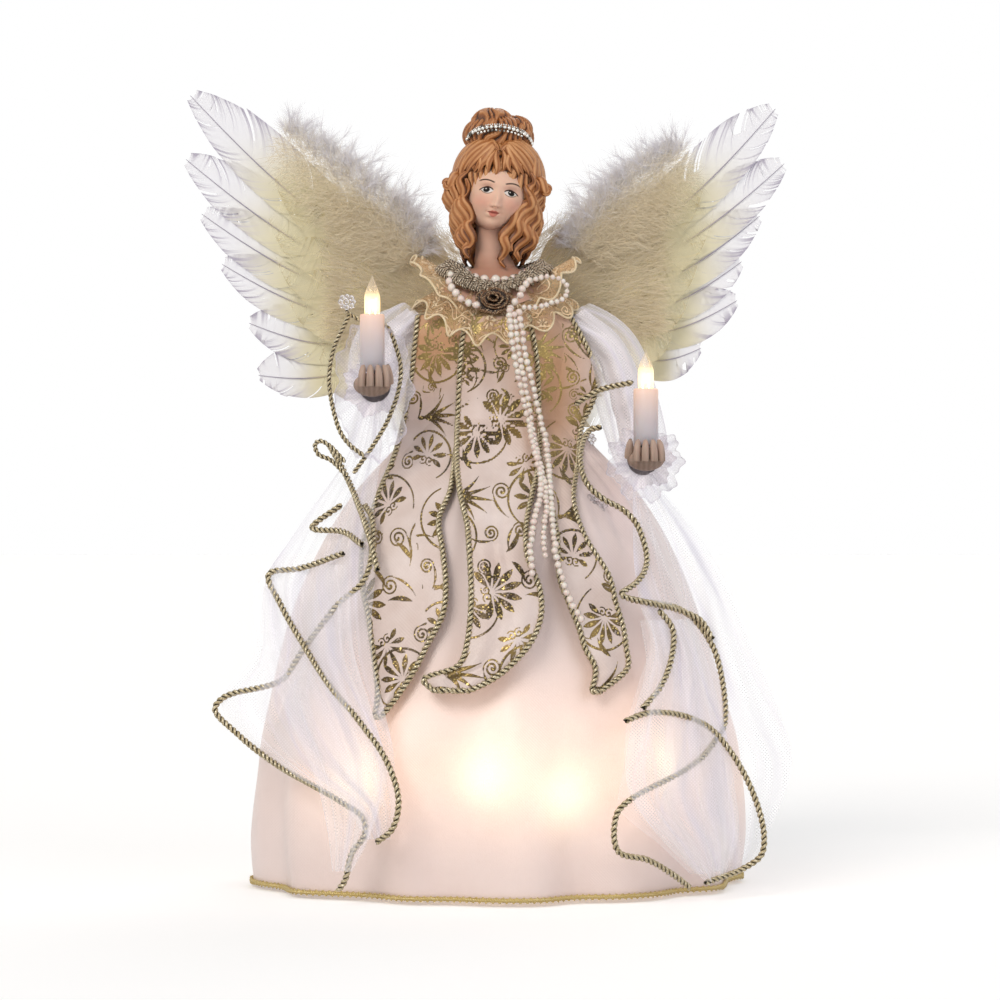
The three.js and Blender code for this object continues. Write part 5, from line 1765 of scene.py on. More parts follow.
        t = np.linspace(0, 1, 9)
        for side in (-1, 1):
            for j in range(8):
                reach = 0.55 + 0.17 * j
                az = side * (
                    0.03 + 0.035 * j + reach * t**1.15
                ) + side * 0.05 * np.sin(2.2 * math.pi * t + 1.1 * j)
                height = (
                    61.2 + 0.25 * j + (3.2 + 0.25 * j) * np.sin(math.pi * t**0.8)
                    - (8.6 + 1.15 * j) * t**1.7
                )
                locks.append(self.lock(laid(az, height, 1.09 + 0.012 * (j % 2)), 2.35, middle, 0.5))
            for j in range(5):
                az = side * (1.0 + 0.2 * j) + 0.06 * np.sin(7 * t + j)
                locks.append(self.lock(laid(az, 66 - 20 * t - j, 1.1), 2.4, middle, 0.5))
        for j, az in enumerate(np.linspace(-0.66, 0.7, 12)):
            hook = az * (1 + 0.12 * t) + 0.05 * np.sin(5 * t + 2 * j) + 0.07 * t**2 * (1 if az > 0 else -1)
            height = 62.0 - (8.6 + 1.1 * (j % 3) - 2.0 * abs(az)) * t
            locks.append(self.lock(laid(hook, height, 1.1), 1.45, middle, 0.75, 4))
        for side, outer, inner in ((-1, *self.OUTER[:1], self.INNER[0]), (1, self.OUTER[1], self.INNER[1])):
            for j, (k, y, high, low) in enumerate((
                (0, -9.6, 50, 17), (0.3, -9.0, 54, 21), (0.62, -7.2, 54, 17), (0.9, -4.6, 55, 18),
                (1.0, -0.6, 56, 21), (0.96, 4.0, 56, 17), (0.82, 8.0, 56, 15)
            )):
                height = np.linspace(high, low if j or side < 0 else 14, 26)
                x = flow(inner, height) * (1 - k) + flow(outer, height) * k
                turn = TURN * height / 10.5 + 1.4 * j + side
                drift = np.stack([1.25 * np.sin(turn), 0.8 * np.cos(turn), 0 * turn], axis=1)
                locks.append(
                    self.lock(np.stack([x, y + 0 * x, height], axis=1) + drift, 2.5, (0.8, 4, 40), 0.4)
                )
            s = np.linspace(0, 1, 12)
            rise = 2.4 * np.sin(2.2 * s * math.pi) * s
            flick = np.stack(
                [side * (16.5 + 5.0 * s) + 0.9, -6 - 1.4 * np.sin(math.pi * s), 52.5 - 5.5 * s + rise],
                axis=1
            )
            locks.append(self.lock(flick, 2.0, (side * 15, 0, 50), 0.5))
            coil = TURN * 1.2 * s
            tip = np.stack(
                [
                    side * (20.8 + (2.0 - 1.2 * s) * np.cos(coil)) + 0.6, -6.4 - s,
                    47.4 + (2.1 - 1.3 * s) * np.sin(coil)
                ],
                axis=1
            )
            locks.append(self.lock(tip, 1.35, (side * 17, 3, 48), 0.4))
        return self.placed(together(locks))

    def tiara(self) -> Mesh:
        """A row of bright metal beads over the front of the crown roll, with small ones between."""
        rows = []
        for drop, radius, count, span in (
            (0.0, 0.86, 21, 1.38), (0.0, 0.45, 42, 1.4), (-1.5, 0.6, 13, 0.72), (1.1, 0.34, 40, 1.36)
        ):
            angle = np.linspace(-span, span, count)
            x = self.crown_centre[0] + 0.7 + 13.7 * np.sin(angle)
            z = 65.4 + 6.8 * np.cos(angle) ** 0.9 + drop
            across = (
                (x - self.crown_centre[0]) / (self.crown_radii[0] + 2.2)
            ) ** 2 + ((z - self.crown_centre[2]) / (self.crown_radii[2] + 2.2)) ** 2
            y = self.crown_centre[1] - (self.crown_radii[1] + 2.5) * np.sqrt(np.maximum(0.04, 1 - across))
            rows.append(beads(np.stack([x, y, z], axis=1), radius, 10, 7))
        return self.placed(together(rows))

    def build(self, finishes: Finishes, collar: "Collar") -> None:
        """Makes the face, the hair and the tiara and puts them on the figure."""
        put("face", self.face(), finishes["skin"], "figure", ["head"])
        put("neck", self.neck(collar), finishes["skin"], "figure")
        put("hair_cap", self.cap(), finishes["hair"], "figure")
        put("hair_locks", self.locks(), finishes["hair"], "figure")
        put("bead_tiara", self.tiara(), finishes["silver"], "figure", ["tiara"])


# Collars, rosette and pearls


@dataclass
class Collar:
    """The lace collar with its corded edge, the woven braid, the rosette and the pearls."""

    inner: float = 7.8
    top: float = 257.0
    half_width: float = 33.0
    front_reach: float = 31.0
    back_reach: float = 20.0
    side_drop: float = 15.0
    front_drop: float = 31.0
    scallops: int = 15

    def surface(self, share: Array, angle: Array, lift: Array | float = 0.0, wave: float = 0.0) -> Array:
        """Points over the shoulders, share 0 at the neck and 1 at the lace's edge."""
        front = np.maximum(0, -np.sin(angle))
        reach = np.where(np.sin(angle) < 0, self.front_reach, self.back_reach)
        drop = self.side_drop + (self.front_drop - self.side_drop) * front**2
        scallop = wave * share * np.cos(self.scallops * angle)
        across = self.inner + (self.half_width - self.inner) * share + scallop
        along = self.inner + (reach - self.inner) * share + scallop
        height = self.top - drop * share**1.2 + lift
        return np.stack([across * np.cos(angle), along * np.sin(angle), height + 0 * angle], axis=-1)

    def loop(self, share: float, lift: float, count: int = 240) -> Array:
        """A loop round the shoulders at one share of the lace."""
        angle = np.linspace(0, TURN, count, endpoint=False)
        return self.surface(np.full_like(angle, share), angle, lift)

    def lace(self, finishes: Finishes) -> None:
        """The two ruffles of lace, each with a fine cord round its scallops."""
        ornament = lace_ornament()
        cords = []
        for name, low, high, lift, phase in (
            ("lace_collar_ruffle", 0.4, 1.0, 0.0, 0.0), ("lace_collar_upper", 0.3, 0.74, 1.5, 0.7)
        ):
            share = np.linspace(low, high, 70)[:, None]
            angle = np.linspace(0, TURN, 720, endpoint=False)[None, :]
            turn = angle + phase + 0.05 * np.sin(3 * angle)
            grow = ((share - low) / (high - low)) ** 1.4
            flute = lift + grow * (
                1.5 * np.sin(self.scallops * turn) + 0.25 * np.sin(31 * turn + 2) + 0.8
                * np.sin(4 * turn)
            )
            points = self.surface(
                share + 0.035 * grow * np.cos(self.scallops * turn + 0.8), angle, flute, 1.2
            )
            if high < 1.0:
                points = self.standing(grow, angle, flute)
            mesh = grid(points, loop_v=True)
            mesh.values["foil"] = np.maximum(
                ornament.read(30 * angle + 0 * share, 30 * share + 0 * angle), grow > 0.96
            ).ravel()
            piece = as_object(name, mesh, finishes["lace"])
            placed(piece, "figure", ["lace_collar"] if not cords else [])
            edge = tube(points[-1], 0.5, 6, closed=True)
            edge.values["crest"] = np.full(len(edge.points), 0.8)
            cords.append(put(f"{name}_edge", edge, finishes["lace_edge"], "figure"))

    @staticmethod
    def standing(grow: Array, angle: Array, flute: Array) -> Array:
        """The upper ruffle, which stands up and out at the shoulders and falls at the throat."""
        aside, front = np.abs(np.cos(angle)) ** 1.6, np.maximum(0, -np.sin(angle)) ** 2
        across = (16.5 + (18.0 + 1.5 * np.cos(17 * angle)) * grow) * np.cos(angle)
        along = (15.0 + (12.5 - 8.0 * front) * grow) * np.sin(angle)
        height = 251.5 - 6.0 * front + grow * (
            8.0 * aside - 14.0 * front
        ) + 0.8 * flute + 1.6 * grow * np.sin(17 * angle)
        return np.stack([across, along, height], axis=-1)

    def braid(self) -> Mesh:
        """Three flat plaits of metal thread that cross over and under round the neck."""
        line = self.loop(0.5, 4.4, 480)
        line[:, 0] *= 1.04
        line[:, 2] += 3.0 * np.clip(np.abs(line[:, 0]) / 21, 0, 1) ** 1.5
        out = np.array([0, 0, 1.0]) + 0.6 * line * (1, 1, 0) / 20
        out /= np.linalg.norm(out, axis=1, keepdims=True)
        tangent = np.roll(line, -1, axis=0) - np.roll(line, 1, axis=0)
        across = np.cross(tangent, out)
        across /= np.linalg.norm(across, axis=1, keepdims=True)
        phase = np.linspace(0, TURN * 14, 480, endpoint=False)
        strands = []
        for ply in range(3):
            turn = phase + TURN * ply / 3
            centre = line + across * (2.9 * np.sin(turn))[:, None] + out * (1.2 * np.sin(2 * turn))[:, None]
            for thread in (-1, 0, 1):
                route = centre + across * (1.05 * thread) + out * 0.3 * (1 - abs(thread))
                strands.append(twisted(route, 0.74, 2.6, closed=True, plies=2))
        return together(strands)

    def rosette(self) -> Mesh:
        """A ribbon of metal thread wound into a rose, facing forward at the throat."""
        parts = []
        for layer, (radius, height, petals) in enumerate(
            ((6.7, 1.4, 7), (5.0, 2.6, 6), (3.3, 3.6, 5), (1.7, 4.2, 3))
        ):
            for n in range(petals):
                s = np.linspace(0, 1, 16)[None, :]
                w = np.linspace(0, 1, 12)[:, None]
                turn = TURN * (n + 0.35 * layer) / petals + (s - 0.5) * TURN / petals * 1.5
                curve = np.sin(math.pi * s)
                stray = 0.5 * math.sin(5.1 * n + 2.3 * layer)
                r = radius * (0.5 + 0.5 * w) + (0.5 * curve + stray) * w + 0.5 * (s - 0.5)
                z = height * (0.3 + 0.7 * w**0.7 * curve**0.4) - 0.9 * w**3 + 0.3 * np.sin(9 * turn)
                mesh = grid(np.stack([r * np.cos(turn), r * np.sin(turn), z + 0 * s], axis=-1))
                # crest is low at each petal's foot, where the ribbon's finish paints shade towards the
                # heart of the rose
                mesh.values["crest"] = np.clip(
                    0.15 + w * 0.9 * (0.6 + 0.4 * np.sin(26 * turn + 12 * w)), 0, 1
                ).ravel()
                parts.append(mesh)
                parts.append(twisted(mesh.points.reshape(12, 16, 3)[-1], 0.42, 1.6, 2))
        wound = together(parts).turned(0.38 * math.pi, "X")
        wound.points[:, 2] *= 0.82
        return wound.moved((-0.4, -23.9, 242.6))

    @staticmethod
    def strung(points: Sequence[Sequence[float]], radius: float, seed: int) -> Mesh:
        """Pearls touching each other along a line, on their thread."""
        line = evened(spline(points, 160), radius * 2.08)
        loose = jitter(seed).normal(0, 0.1 * radius, line.shape)
        mesh = beads(line + loose, radius)
        thread = tube(evened(line, 1.0), 0.22, 4)
        thread.values["shade"] = np.full(len(thread.points), 0.5)
        return together([mesh, thread])

    def pearls(self, finishes: Finishes) -> None:
        """The necklace with its swags, and the long strands down the robe."""
        angle = np.linspace(0, TURN, 26, endpoint=False)
        necklace = self.surface(np.full_like(angle, 0.3) + 0.04 * np.maximum(0, -np.sin(angle)), angle, 3.0)
        swags = [
            self.strung(
                [
                    (-18.5, -13, 253.5), (-18.5, -17, 249.5), (-16, -21, 245.5), (-12, -24, 242),
                    (-7.5, -26, 240.5)
                ],
                1.8, 1
            ),
            self.strung(
                [
                    (13.5, -18, 250), (17, -21, 251.5), (22, -22, 252.5), (27.5, -22, 251),
                    (30, -23, 248), (28.5, -25, 243.5), (24, -27, 241.5), (18, -29, 239.5),
                    (12, -30, 239)
                ],
                1.15, 2
            ),
            self.strung([(14, -19, 251), (12, -24, 248), (9, -27, 243), (6.5, -29, 239)], 1.6, 3),
        ]
        ring = self.strung(np.vstack([necklace, necklace[:1]]), 2.0, 4)
        put(
            "pearl_neck_string", together([ring, *swags]), finishes["pearl"], "figure",
            ["pearl_necklace"]
        )
        left = [
            (6, 238, 5.5), (6.5, 231, 7.5), (7.8, 220, 5), (11, 205, 4.5), (13.5, 194, 5),
            (15.8, 182, 3), (18.2, 172, 0.6), (18.4, 162, 0.3), (15.6, 151, 0.3), (14.4, 140, 0.3),
            (15, 131, 0.3)
        ]
        right = [
            (10, 237, 7), (12, 222, 6.5), (16, 205, 3.5), (18.5, 194, 4), (21, 183, 2), (22, 172, 0.6),
            (22.8, 160, 0.3), (23.4, 148, 0.3), (24.5, 138, 0.4), (27, 128, 0.5), (30, 120, 0.6),
            (34.2, 113, 0.6)
        ]
        third = [
            (8, 236, 7.8), (9.5, 222, 6.8), (13, 205, 5.4), (15, 192, 5), (17.6, 178, 2.4),
            (20, 168, 1.2), (20.8, 157, 0.8), (19.5, 147, 0.8), (20, 138, 0.8)
        ]
        for name, table, nodes in (
            ("pearl_strand_left", left, 1), ("pearl_strand_right", right, 1),
            ("pearl_strand_middle", third, 0)
        ):
            rows = np.array(table)
            y = FIGURE.front(
                rows[:, 0], rows[:, 1], 10.6
            ) - 2.4 - rows[:, 2] * 0.55 + 3.0 * stepped(212, 186, rows[:, 1])
            line = np.stack([rows[:, 0], y - 2.2 * stepped(212, 186, rows[:, 1]), rows[:, 1]], axis=1)
            mesh = self.strung(line, 1.45 if nodes else 1.3, len(name))
            put(f"{name}_beads", mesh, finishes["pearl"], "figure", [name] if nodes else [])

    def build(self, finishes: Finishes) -> None:
        """Makes the collars, the rosette and the pearls and puts them on the figure."""
        self.lace(finishes)
        put("woven_braid", self.braid(), finishes["old_braid"], "figure", ["braid_collar"])
        put("ribbon_rosette", self.rosette(), finishes["bronze_ribbon"], "figure", ["rosette"])
        self.pearls(finishes)


# Lamps, arms and candles


@dataclass
class Lamp:
    """A push-in mini lamp: clear pinched glass over a moulded base, with a glowing filament."""

    glass_radius: float = 3.2
    glass_length: float = 17.0
    base_radius: float = 2.55
    base_length: float = 9.0

    def build(
        self, name: str, node: str, body: str, place: Callable[[Mesh], Mesh], finishes: Finishes
    ) -> None:
        """Makes one lamp.

        Args:
            name: the start of its pieces' names.
            node: the CAD node that it replaces.
            body: the body that it rides on.
            place: moves a mesh drawn upright from the base's end to where the lamp is.
            finishes: the finishes.
        """
        low = self.base_length
        share = np.linspace(0, 1, 40)
        outline = flow(
            [(0, 0.8), (0.1, 1), (0.42, 1), (0.62, 0.78), (0.78, 0.42), (0.9, 0.18), (1, 0.0)], share
        )
        glass = lathe(
            [(self.glass_radius * r, low + self.glass_length * s) for r, s in zip(outline, share)], 32
        )
        glass.values["lit"] = np.exp(-(((glass.points[:, 2] - low - 4.6) / 3.7) ** 2))
        base = lathe(
            [
                (0, 0), (self.base_radius - 0.3, 0), (self.base_radius, 0.4),
                (self.base_radius, low - 0.8), (2.9, low - 0.7), (2.9, low), (2.2, low + 0.2),
                (0, low + 0.2)
            ],
            28
        )
        base.values["lit"] = stepped(low - 5, low, base.points[:, 2]) * 0.5
        s = np.linspace(0, 1, 30)
        coil = np.stack(
            [
                1.1 * np.cos(9 * TURN * s) * 0.4 - 1.2 + 2.4 * s, 0.45 * np.sin(9 * TURN * s),
                low + 4.8 + 1.4 * np.sin(math.pi * s)
            ],
            axis=1
        )
        posts = [
            tube(np.array([(x, 0, low), (x, 0, low + 2.5), (x * 1.05, 0, low + 4.9)]), 0.22, 5)
            for x in (-1.2, 1.2)
        ]
        wire = together([tube(evened(coil, 0.35), 0.3, 5), *posts])
        wire.values["lit"] = np.ones(len(wire.points))
        for part, mesh, finish in (
            ("glass", glass, "glass"), ("base", base, "candle"), ("filament", wire, "filament")
        ):
            put(
                f"{name}_{part}", place(mesh), finishes[finish], body,
                [node] if part == "glass" else []
            )


@dataclass
class Arm:
    """An arm: gathered sleeve, ruffled cuff, cast hand and lit candle."""

    side: Side
    foot: tuple[float, float, float]
    bends: tuple[tuple[float, float, float], ...]
    mouth: tuple[float, float, float]
    flat: tuple[float, float]
    loops: tuple[tuple[tuple[float, float], ...], ...] = ()
    blossom: tuple[float, float] | None = None

    @property
    def body(self) -> str:
        """The body that the arm rides on."""
        return f"{self.side.word}_arm"

    def route(self) -> Array:
        """The arm's centre line, from the shoulder pin to the palm."""
        x, y, z = self.foot
        wrist = [(x, y + off, z - 5.3) for off in (36, 28, 9, 3.7)]
        return spline([(self.side.value * 33.4, 0, 235), *self.bends, *wrist], 400)

    def veil(self) -> Mesh:
        """The wide sheer sleeve over the satin one, closed to its wrist."""
        line = self.route()
        line = evened(line[line[:, 1] > self.foot[1] + 31], 0.7)
        share = np.linspace(0, 1, len(line))[:, None]
        _, side, up = frames_along(line)
        angle = np.linspace(0, TURN, 150, endpoint=False)[None, :]
        fold = np.cos(7 * angle + 2.5 * np.sin(3 * share) + 0.8 * np.sin(2 * angle))
        reach = 9.2 + 3.6 * np.sin(math.pi * share) ** 0.7 + 0.7 * fold
        points = (
            line[:, None] + side[:, None] * (reach * np.cos(angle))[..., None]
            + up[:, None] * (reach * np.sin(angle))[..., None]
        )
        mesh = grid(points, loop_v=True)
        mesh.values["crease"] = np.clip(0.25 + 0.75 * fold**5, 0, 1).ravel()
        return mesh

    def sleeve(self) -> Mesh:
        """The satin sleeve, with soft gathers that run along and across it."""
        line = self.route()
        line = evened(line[line[:, 1] > self.foot[1] + 28.3], 0.5)
        share = np.linspace(0, 1, len(line))[:, None]
        _, side, up = frames_along(line)
        angle = np.linspace(0, TURN, 90, endpoint=False)[None, :]
        reach = 6 + 2 * share + 0.45 * np.sin(6 * angle + 5 * share) * (0.4 + share) + 0.5 * np.sin(
            34 * share + 1.6 * np.sin(angle)
        ) * np.cos(angle)
        reach = reach + 0.7 * np.exp(-((share / 0.12) ** 2)) * np.cos(11 * angle) - 0.9 * np.exp(
            -(((share - 1) / 0.04) ** 2)
        )
        ring = (
            side[:, None, :] * (reach * np.cos(angle))[..., None]
            + up[:, None, :] * (reach * np.sin(angle))[..., None]
        )
        return grid(line[:, None, :] + ring, loop_v=True)

    def cuff(self, mouth: Sequence[float], back: float, waves: int, seed: int) -> Mesh:
        """A sheer ruffle that flares forward round the wrist.

        Args:
            mouth: its half width, and how far it reaches up and down at its open end.
            back: how far behind the hand its open end stays.
            waves: how many flutes go round it.
            seed: its own chance.

        Returns:
            The mesh, with "crease" high in its folds.
        """
        x, y, z = self.foot
        share = np.linspace(0, 1, 46)[:, None]
        angle = np.linspace(0, TURN, 400, endpoint=False)[None, :]
        ruffle = 1.3 * share**1.3 * np.cos(
            waves * angle + 0.6 * np.sin(2 * angle + seed)
        ) + 0.5 * share * np.cos(23 * angle + seed)
        wide, high, low = mouth
        open_out = share**1.15
        across = 6.5 + (wide - 6.5) * open_out + ruffle
        up = 6.5 + (np.where(np.sin(angle) > 0, high, low) - 6.5) * open_out + ruffle
        along = y + 9 + back + (19 - back) * (1 - share) + 1.2 * share * np.sin(waves * angle + 1.5)
        mesh = grid(
            np.stack([x + across * np.cos(angle), along, z - 5.3 + up * np.sin(angle)], axis=-1),
            loop_v=True
        )
        folds = 0.2 + 0.4 * np.cos(waves * angle + 1.2) ** 3 + 0.25 * np.cos(
            2.6 * waves * angle + seed + 4 * share
        ) ** 5
        mesh.values["crease"] = np.clip(folds + (share > 0.95) * 0.6, 0, 1).ravel()
        return mesh

    def trimmings(self, finishes: Finishes) -> None:
        """The cords on the sleeve's open end and the small beaded blossom on them."""
        word, y = self.side.word, self.foot[1]
        for n, pixels in enumerate(self.loops):
            flat = np.array(front_points(pixels, -(y + 10)))
            line = spline(
                np.stack(
                    [flat[:, 0], y + 10 + 1.5 * np.sin(0.9 * np.arange(len(flat))), flat[:, 1]], axis=1
                ),
                300
            )
            put(
                f"cuff_cord_{word}_{n + 1}", twisted(line, 1.0, 4.0, 2), finishes["gold_cord"],
                self.body
            )
        if self.blossom:
            (bx, bz, _), = front_points([self.blossom], -(y + 10))
            turn = np.linspace(0, TURN, 8, endpoint=False)
            petals = np.stack(
                [bx + 2.6 * np.cos(turn), y + 9 - 0.5 * np.sin(3 * turn), bz + 2.2 * np.sin(turn)],
                axis=1
            )
            centre = np.array([[bx, y + 8, bz]])
            put(
                f"blossom_{word}", beads(np.vstack([petals, centre]), 1.15), finishes["crystal"],
                self.body
            )

    def hand(self) -> Mesh:
        """The palm, four fingers curled round the candle and the thumb, as one casting, with painted shade
        underneath and between the fingers.
        """
        x, y, z = self.foot
        theta, phi = np.linspace(
            0, TURN, 40, endpoint=False
        )[None, :], np.linspace(-1.57, 1.57, 28)[:, None]
        unit = np.stack(
            [np.cos(phi) * np.cos(theta), np.cos(phi) * np.sin(theta), np.sin(phi) + 0 * theta], axis=-1
        )
        parts = [
            grid(unit * (7.6, 7.0, 4.8) + (x, y, z - 5.5), loop_v=True),
            grid(unit * (5.0, 9.0, 3.8) + (x, y + 6, z - 5.4), loop_v=True)
        ]
        for n in range(4):
            turn = (n - 1.5) * 0.42 * -self.side.value + 0.15
            rise = np.linspace(0, 1, 12)
            out = 8.6 - 1.9 * rise**2
            height = z - 6.5 + 8.6 * np.sin(rise * 1.45)
            path = np.stack([x + out * math.sin(turn), y - out * math.cos(turn), height], axis=1)
            parts.append(
                tube(path, 1.55 * np.sin(math.pi * np.clip(rise * 0.55 + 0.42, 0, 0.985)) ** 0.5, 12)
            )
        rise = np.linspace(0, 1, 10)
        thumb = np.stack(
            [x + self.side.value * -(7.0 - 0.6 * rise), y - 1 - 3.2 * rise, z - 5 + 7.5 * rise], axis=1
        )
        parts.append(tube(thumb, 1.8 * np.sin(math.pi * np.clip(0.35 + rise * 0.62, 0, 0.985)) ** 0.5, 12))
        mesh = together(parts)
        # painted shade: the hand darkens towards its underside and in stripes between the fingers, towards
        # the dark under colour
        low = np.clip((mesh.points[:, 2] - z + 9) / 9, 0, 1)[:, None]
        skin, under = np.array(colour("c3a999")[:3]), np.array(colour("4e3b30")[:3])
        grooves = (0.5 + 0.5 * np.cos(3.0 * (mesh.points[:, :1] - x)))
        mesh.values["paint"] = under + (skin - under) * np.clip(0.35 + 0.5 * low + 0.25 * grooves, 0, 1)
        return mesh

    def build(self, finishes: Finishes) -> None:
        """Makes the arm's pieces and puts them on its body."""
        word, (x, y, z) = self.side.word, self.foot
        sleeve = put(
            f"sleeve_{word}", self.sleeve(), finishes["white_satin"], self.body,
            [f"satin_sleeve_{word}"]
        )
        veil = put(f"veil_sleeve_{word}", self.veil(), finishes["organza"], self.body)
        for name, mouth, back, waves, flat in (
            ("outer", self.mouth, 1.0, 9, self.flat), ("inner", (11.5, 11, 12), 4.0, 7, (0.075, 0.018))
        ):
            cuff = as_object(
                f"cuff_{name}_{word}", self.cuff(mouth, back, waves, len(name) + waves),
                finishes["cuff_sheer" if name == "outer" else "cuff_satin"]
            )
            placed(cuff, self.body, [f"cuff_{word}"] if name == "outer" else [])
        self.trimmings(finishes)
        put(
            f"cast_hand_{word}", self.hand(), finishes["skin"], self.body,
            [f"hand_{word}"]
        )
        tube_mesh = lathe(
            [(4.2, 0), (4.8, 0), (5, 0.3), (5, 22.2), (4.75, 22.9), (4.4, 23), (4.2, 22.6), (4.2, 0)],
            64
        )
        tube_mesh.values["lit"] = 0.75 * stepped(17, 23.5, tube_mesh.points[:, 2])
        put(
            f"candle_{word}", tube_mesh.moved(self.foot), finishes["candle"], self.body,
            [f"candle_tube_{word}"]
        )
        Lamp().build(
            f"candle_lamp_{word}", f"candle_bulb_{word}", f"{word}_candle_lamp",
            lambda m: m.moved((x, y, z + 13.2)), finishes
        )


LEFT_CUFF_LOOPS = (
    ((350, 313.5), (341, 332), (334, 347), (329, 378), (333, 408), (341, 433), (350, 445), (364, 456)),
    (
        (346, 311), (358, 319), (386, 326), (396, 347), (401, 370), (398, 393), (393, 408), (386, 424),
        (372, 447), (353.5, 473)
    ),
    ((347, 476), (330.5, 460), (318, 454), (315, 444), (321, 441), (331, 447), (345, 462)),
)
ARMS = (
    Arm(
        Side.LEFT, (-49.5, -58, 212), ((-45.5, -5, 225), (-48.5, -13, 211)), (15.5, 27, 31),
        (0.105, 0.024), LEFT_CUFF_LOOPS, (347, 302)
    ),
    Arm(Side.RIGHT, (61, -58, 182), ((48, -4, 223), (57, -10, 196)), (15, 13, 17), (0.088, 0.02)),
)


# Organza


@dataclass
class Drape:
    """The sheer organza that hangs from one arm, with its gold cords."""

    arm: Arm
    rows: Sequence[tuple[float, float, float]]
    veil: Sequence[tuple[float, float, float]]
    cords: Sequence[Sequence[tuple[float, float, float]]]
    blend_from: float
    blend_to: float

    OUTER_LAYER, CORD_LAYER, VEIL_LAYER = 10.5, 11.8, 13.5
    CORD_RADIUS, CORD_PITCH = 1.3, 4.6
    CREASES = 18

    def bent(self, obj: bpy.types.Object, nodes: Sequence[str] = ()) -> bpy.types.Object:
        """Hides the solids that a piece stands for and sets its place into its points."""
        if nodes:
            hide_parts(*nodes)
        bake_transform(obj)
        return obj

    def sheet(self, rows: Sequence[tuple[float, float, float]], layer: float, seed: int, top: bool) -> Mesh:
        """One layer of organza, in soft flutes with sharp creases."""
        x, y, z = self.arm.foot
        table = [(*row, 0.0)[:4] for row in rows]
        if top:
            height = z - 13.6
            depth = float(FIGURE.front(np.array(x), np.array(height), layer)) - (y + 32)
            table.append((height, x + self.arm.side.value * 4, x - self.arm.side.value * 4, depth))

        def fold(share: Array, height: Array) -> Array:
            """How far the flutes stand out at a share across and a height."""
            wave = 1.3 * (1 - np.cos(2 * TURN * share)) + 0.9 * np.sin(
                4.3 * TURN * share + 0.03 * height + seed
            )
            return wave + 0.5 * np.sin(0.09 * height + 7 * share + seed)

        cloth = HangingCloth("drape", table, layer, 230, 130, fold)
        points, share = cloth.surface()
        mesh = grid(points)
        chance = jitter(seed)
        crease = np.zeros(share.shape)
        for n in range(self.CREASES):
            wide = chance.uniform(0.03, 0.08) if n % 3 else 0.012
            at, lean = chance.uniform(0, 1), chance.uniform(-0.006, 0.006)
            line = at + lean * (points[..., 2] - 90) + 0.02 * np.sin(0.07 * points[..., 2] + 6 * at)
            crease = crease + chance.uniform(0.15, 0.45) * np.exp(-(((share - line) / wide) ** 2))
        mesh.values["crease"] = np.clip(crease, 0, 1).ravel()
        return mesh

    def build(self, finishes: Finishes) -> None:
        """Makes the sheets and the cords."""
        word = self.arm.side.word
        for n, table in enumerate(self.cords):
            flat = np.array(table)
            y = FIGURE.front(flat[:, 0], flat[:, 1], self.CORD_LAYER) - flat[:, 2]
            line = spline(np.stack([flat[:, 0], y, flat[:, 1]], axis=1), 400)
            twist = twisted(line, self.CORD_RADIUS, self.CORD_PITCH, 2)
            cord = as_object(f"drape_cord_{word}_{n + 1}", twist, finishes["gold_cord"])
            self.bent(cord, [f"organza_cord_{word}"] if n == 0 else [])
        sheets = (("outer", self.rows, self.OUTER_LAYER, True), ("veil", self.veil, self.VEIL_LAYER, False))
        for name, rows, layer, top in sheets:
            cloth = as_object(
                f"organza_{name}_{word}", self.sheet(rows, layer, 3 + int(layer) % 5, top),
                finishes["organza"]
            )
            self.bent(cloth, [f"organza_drape_{word}"] if top else [])


def front_points(pixels: Sequence[tuple[float, ...]], depth: float) -> list[tuple[float, float, float]]:
    """Places on the figure's front from where they lie in the camera's frame.

    Args:
        pixels: (across, down) in the 1000 by 1000 frame, and how far forward where it isn't 0.
        depth: about how far in front of the axis they are, in millimetres.

    Returns:
        (across, up, forward) rows in millimetres.
    """
    scale = PIXEL * (CAMERA_AWAY - depth) / CAMERA_AWAY
    across, up = FRAME_AIM
    return [
        (
            across + (p[0] - FRAME_CENTRE) * scale, up + (FRAME_CENTRE - p[1]) * scale,
            p[2] if len(p) > 2 else 0.0
        )
        for p in pixels
    ]


# Wings


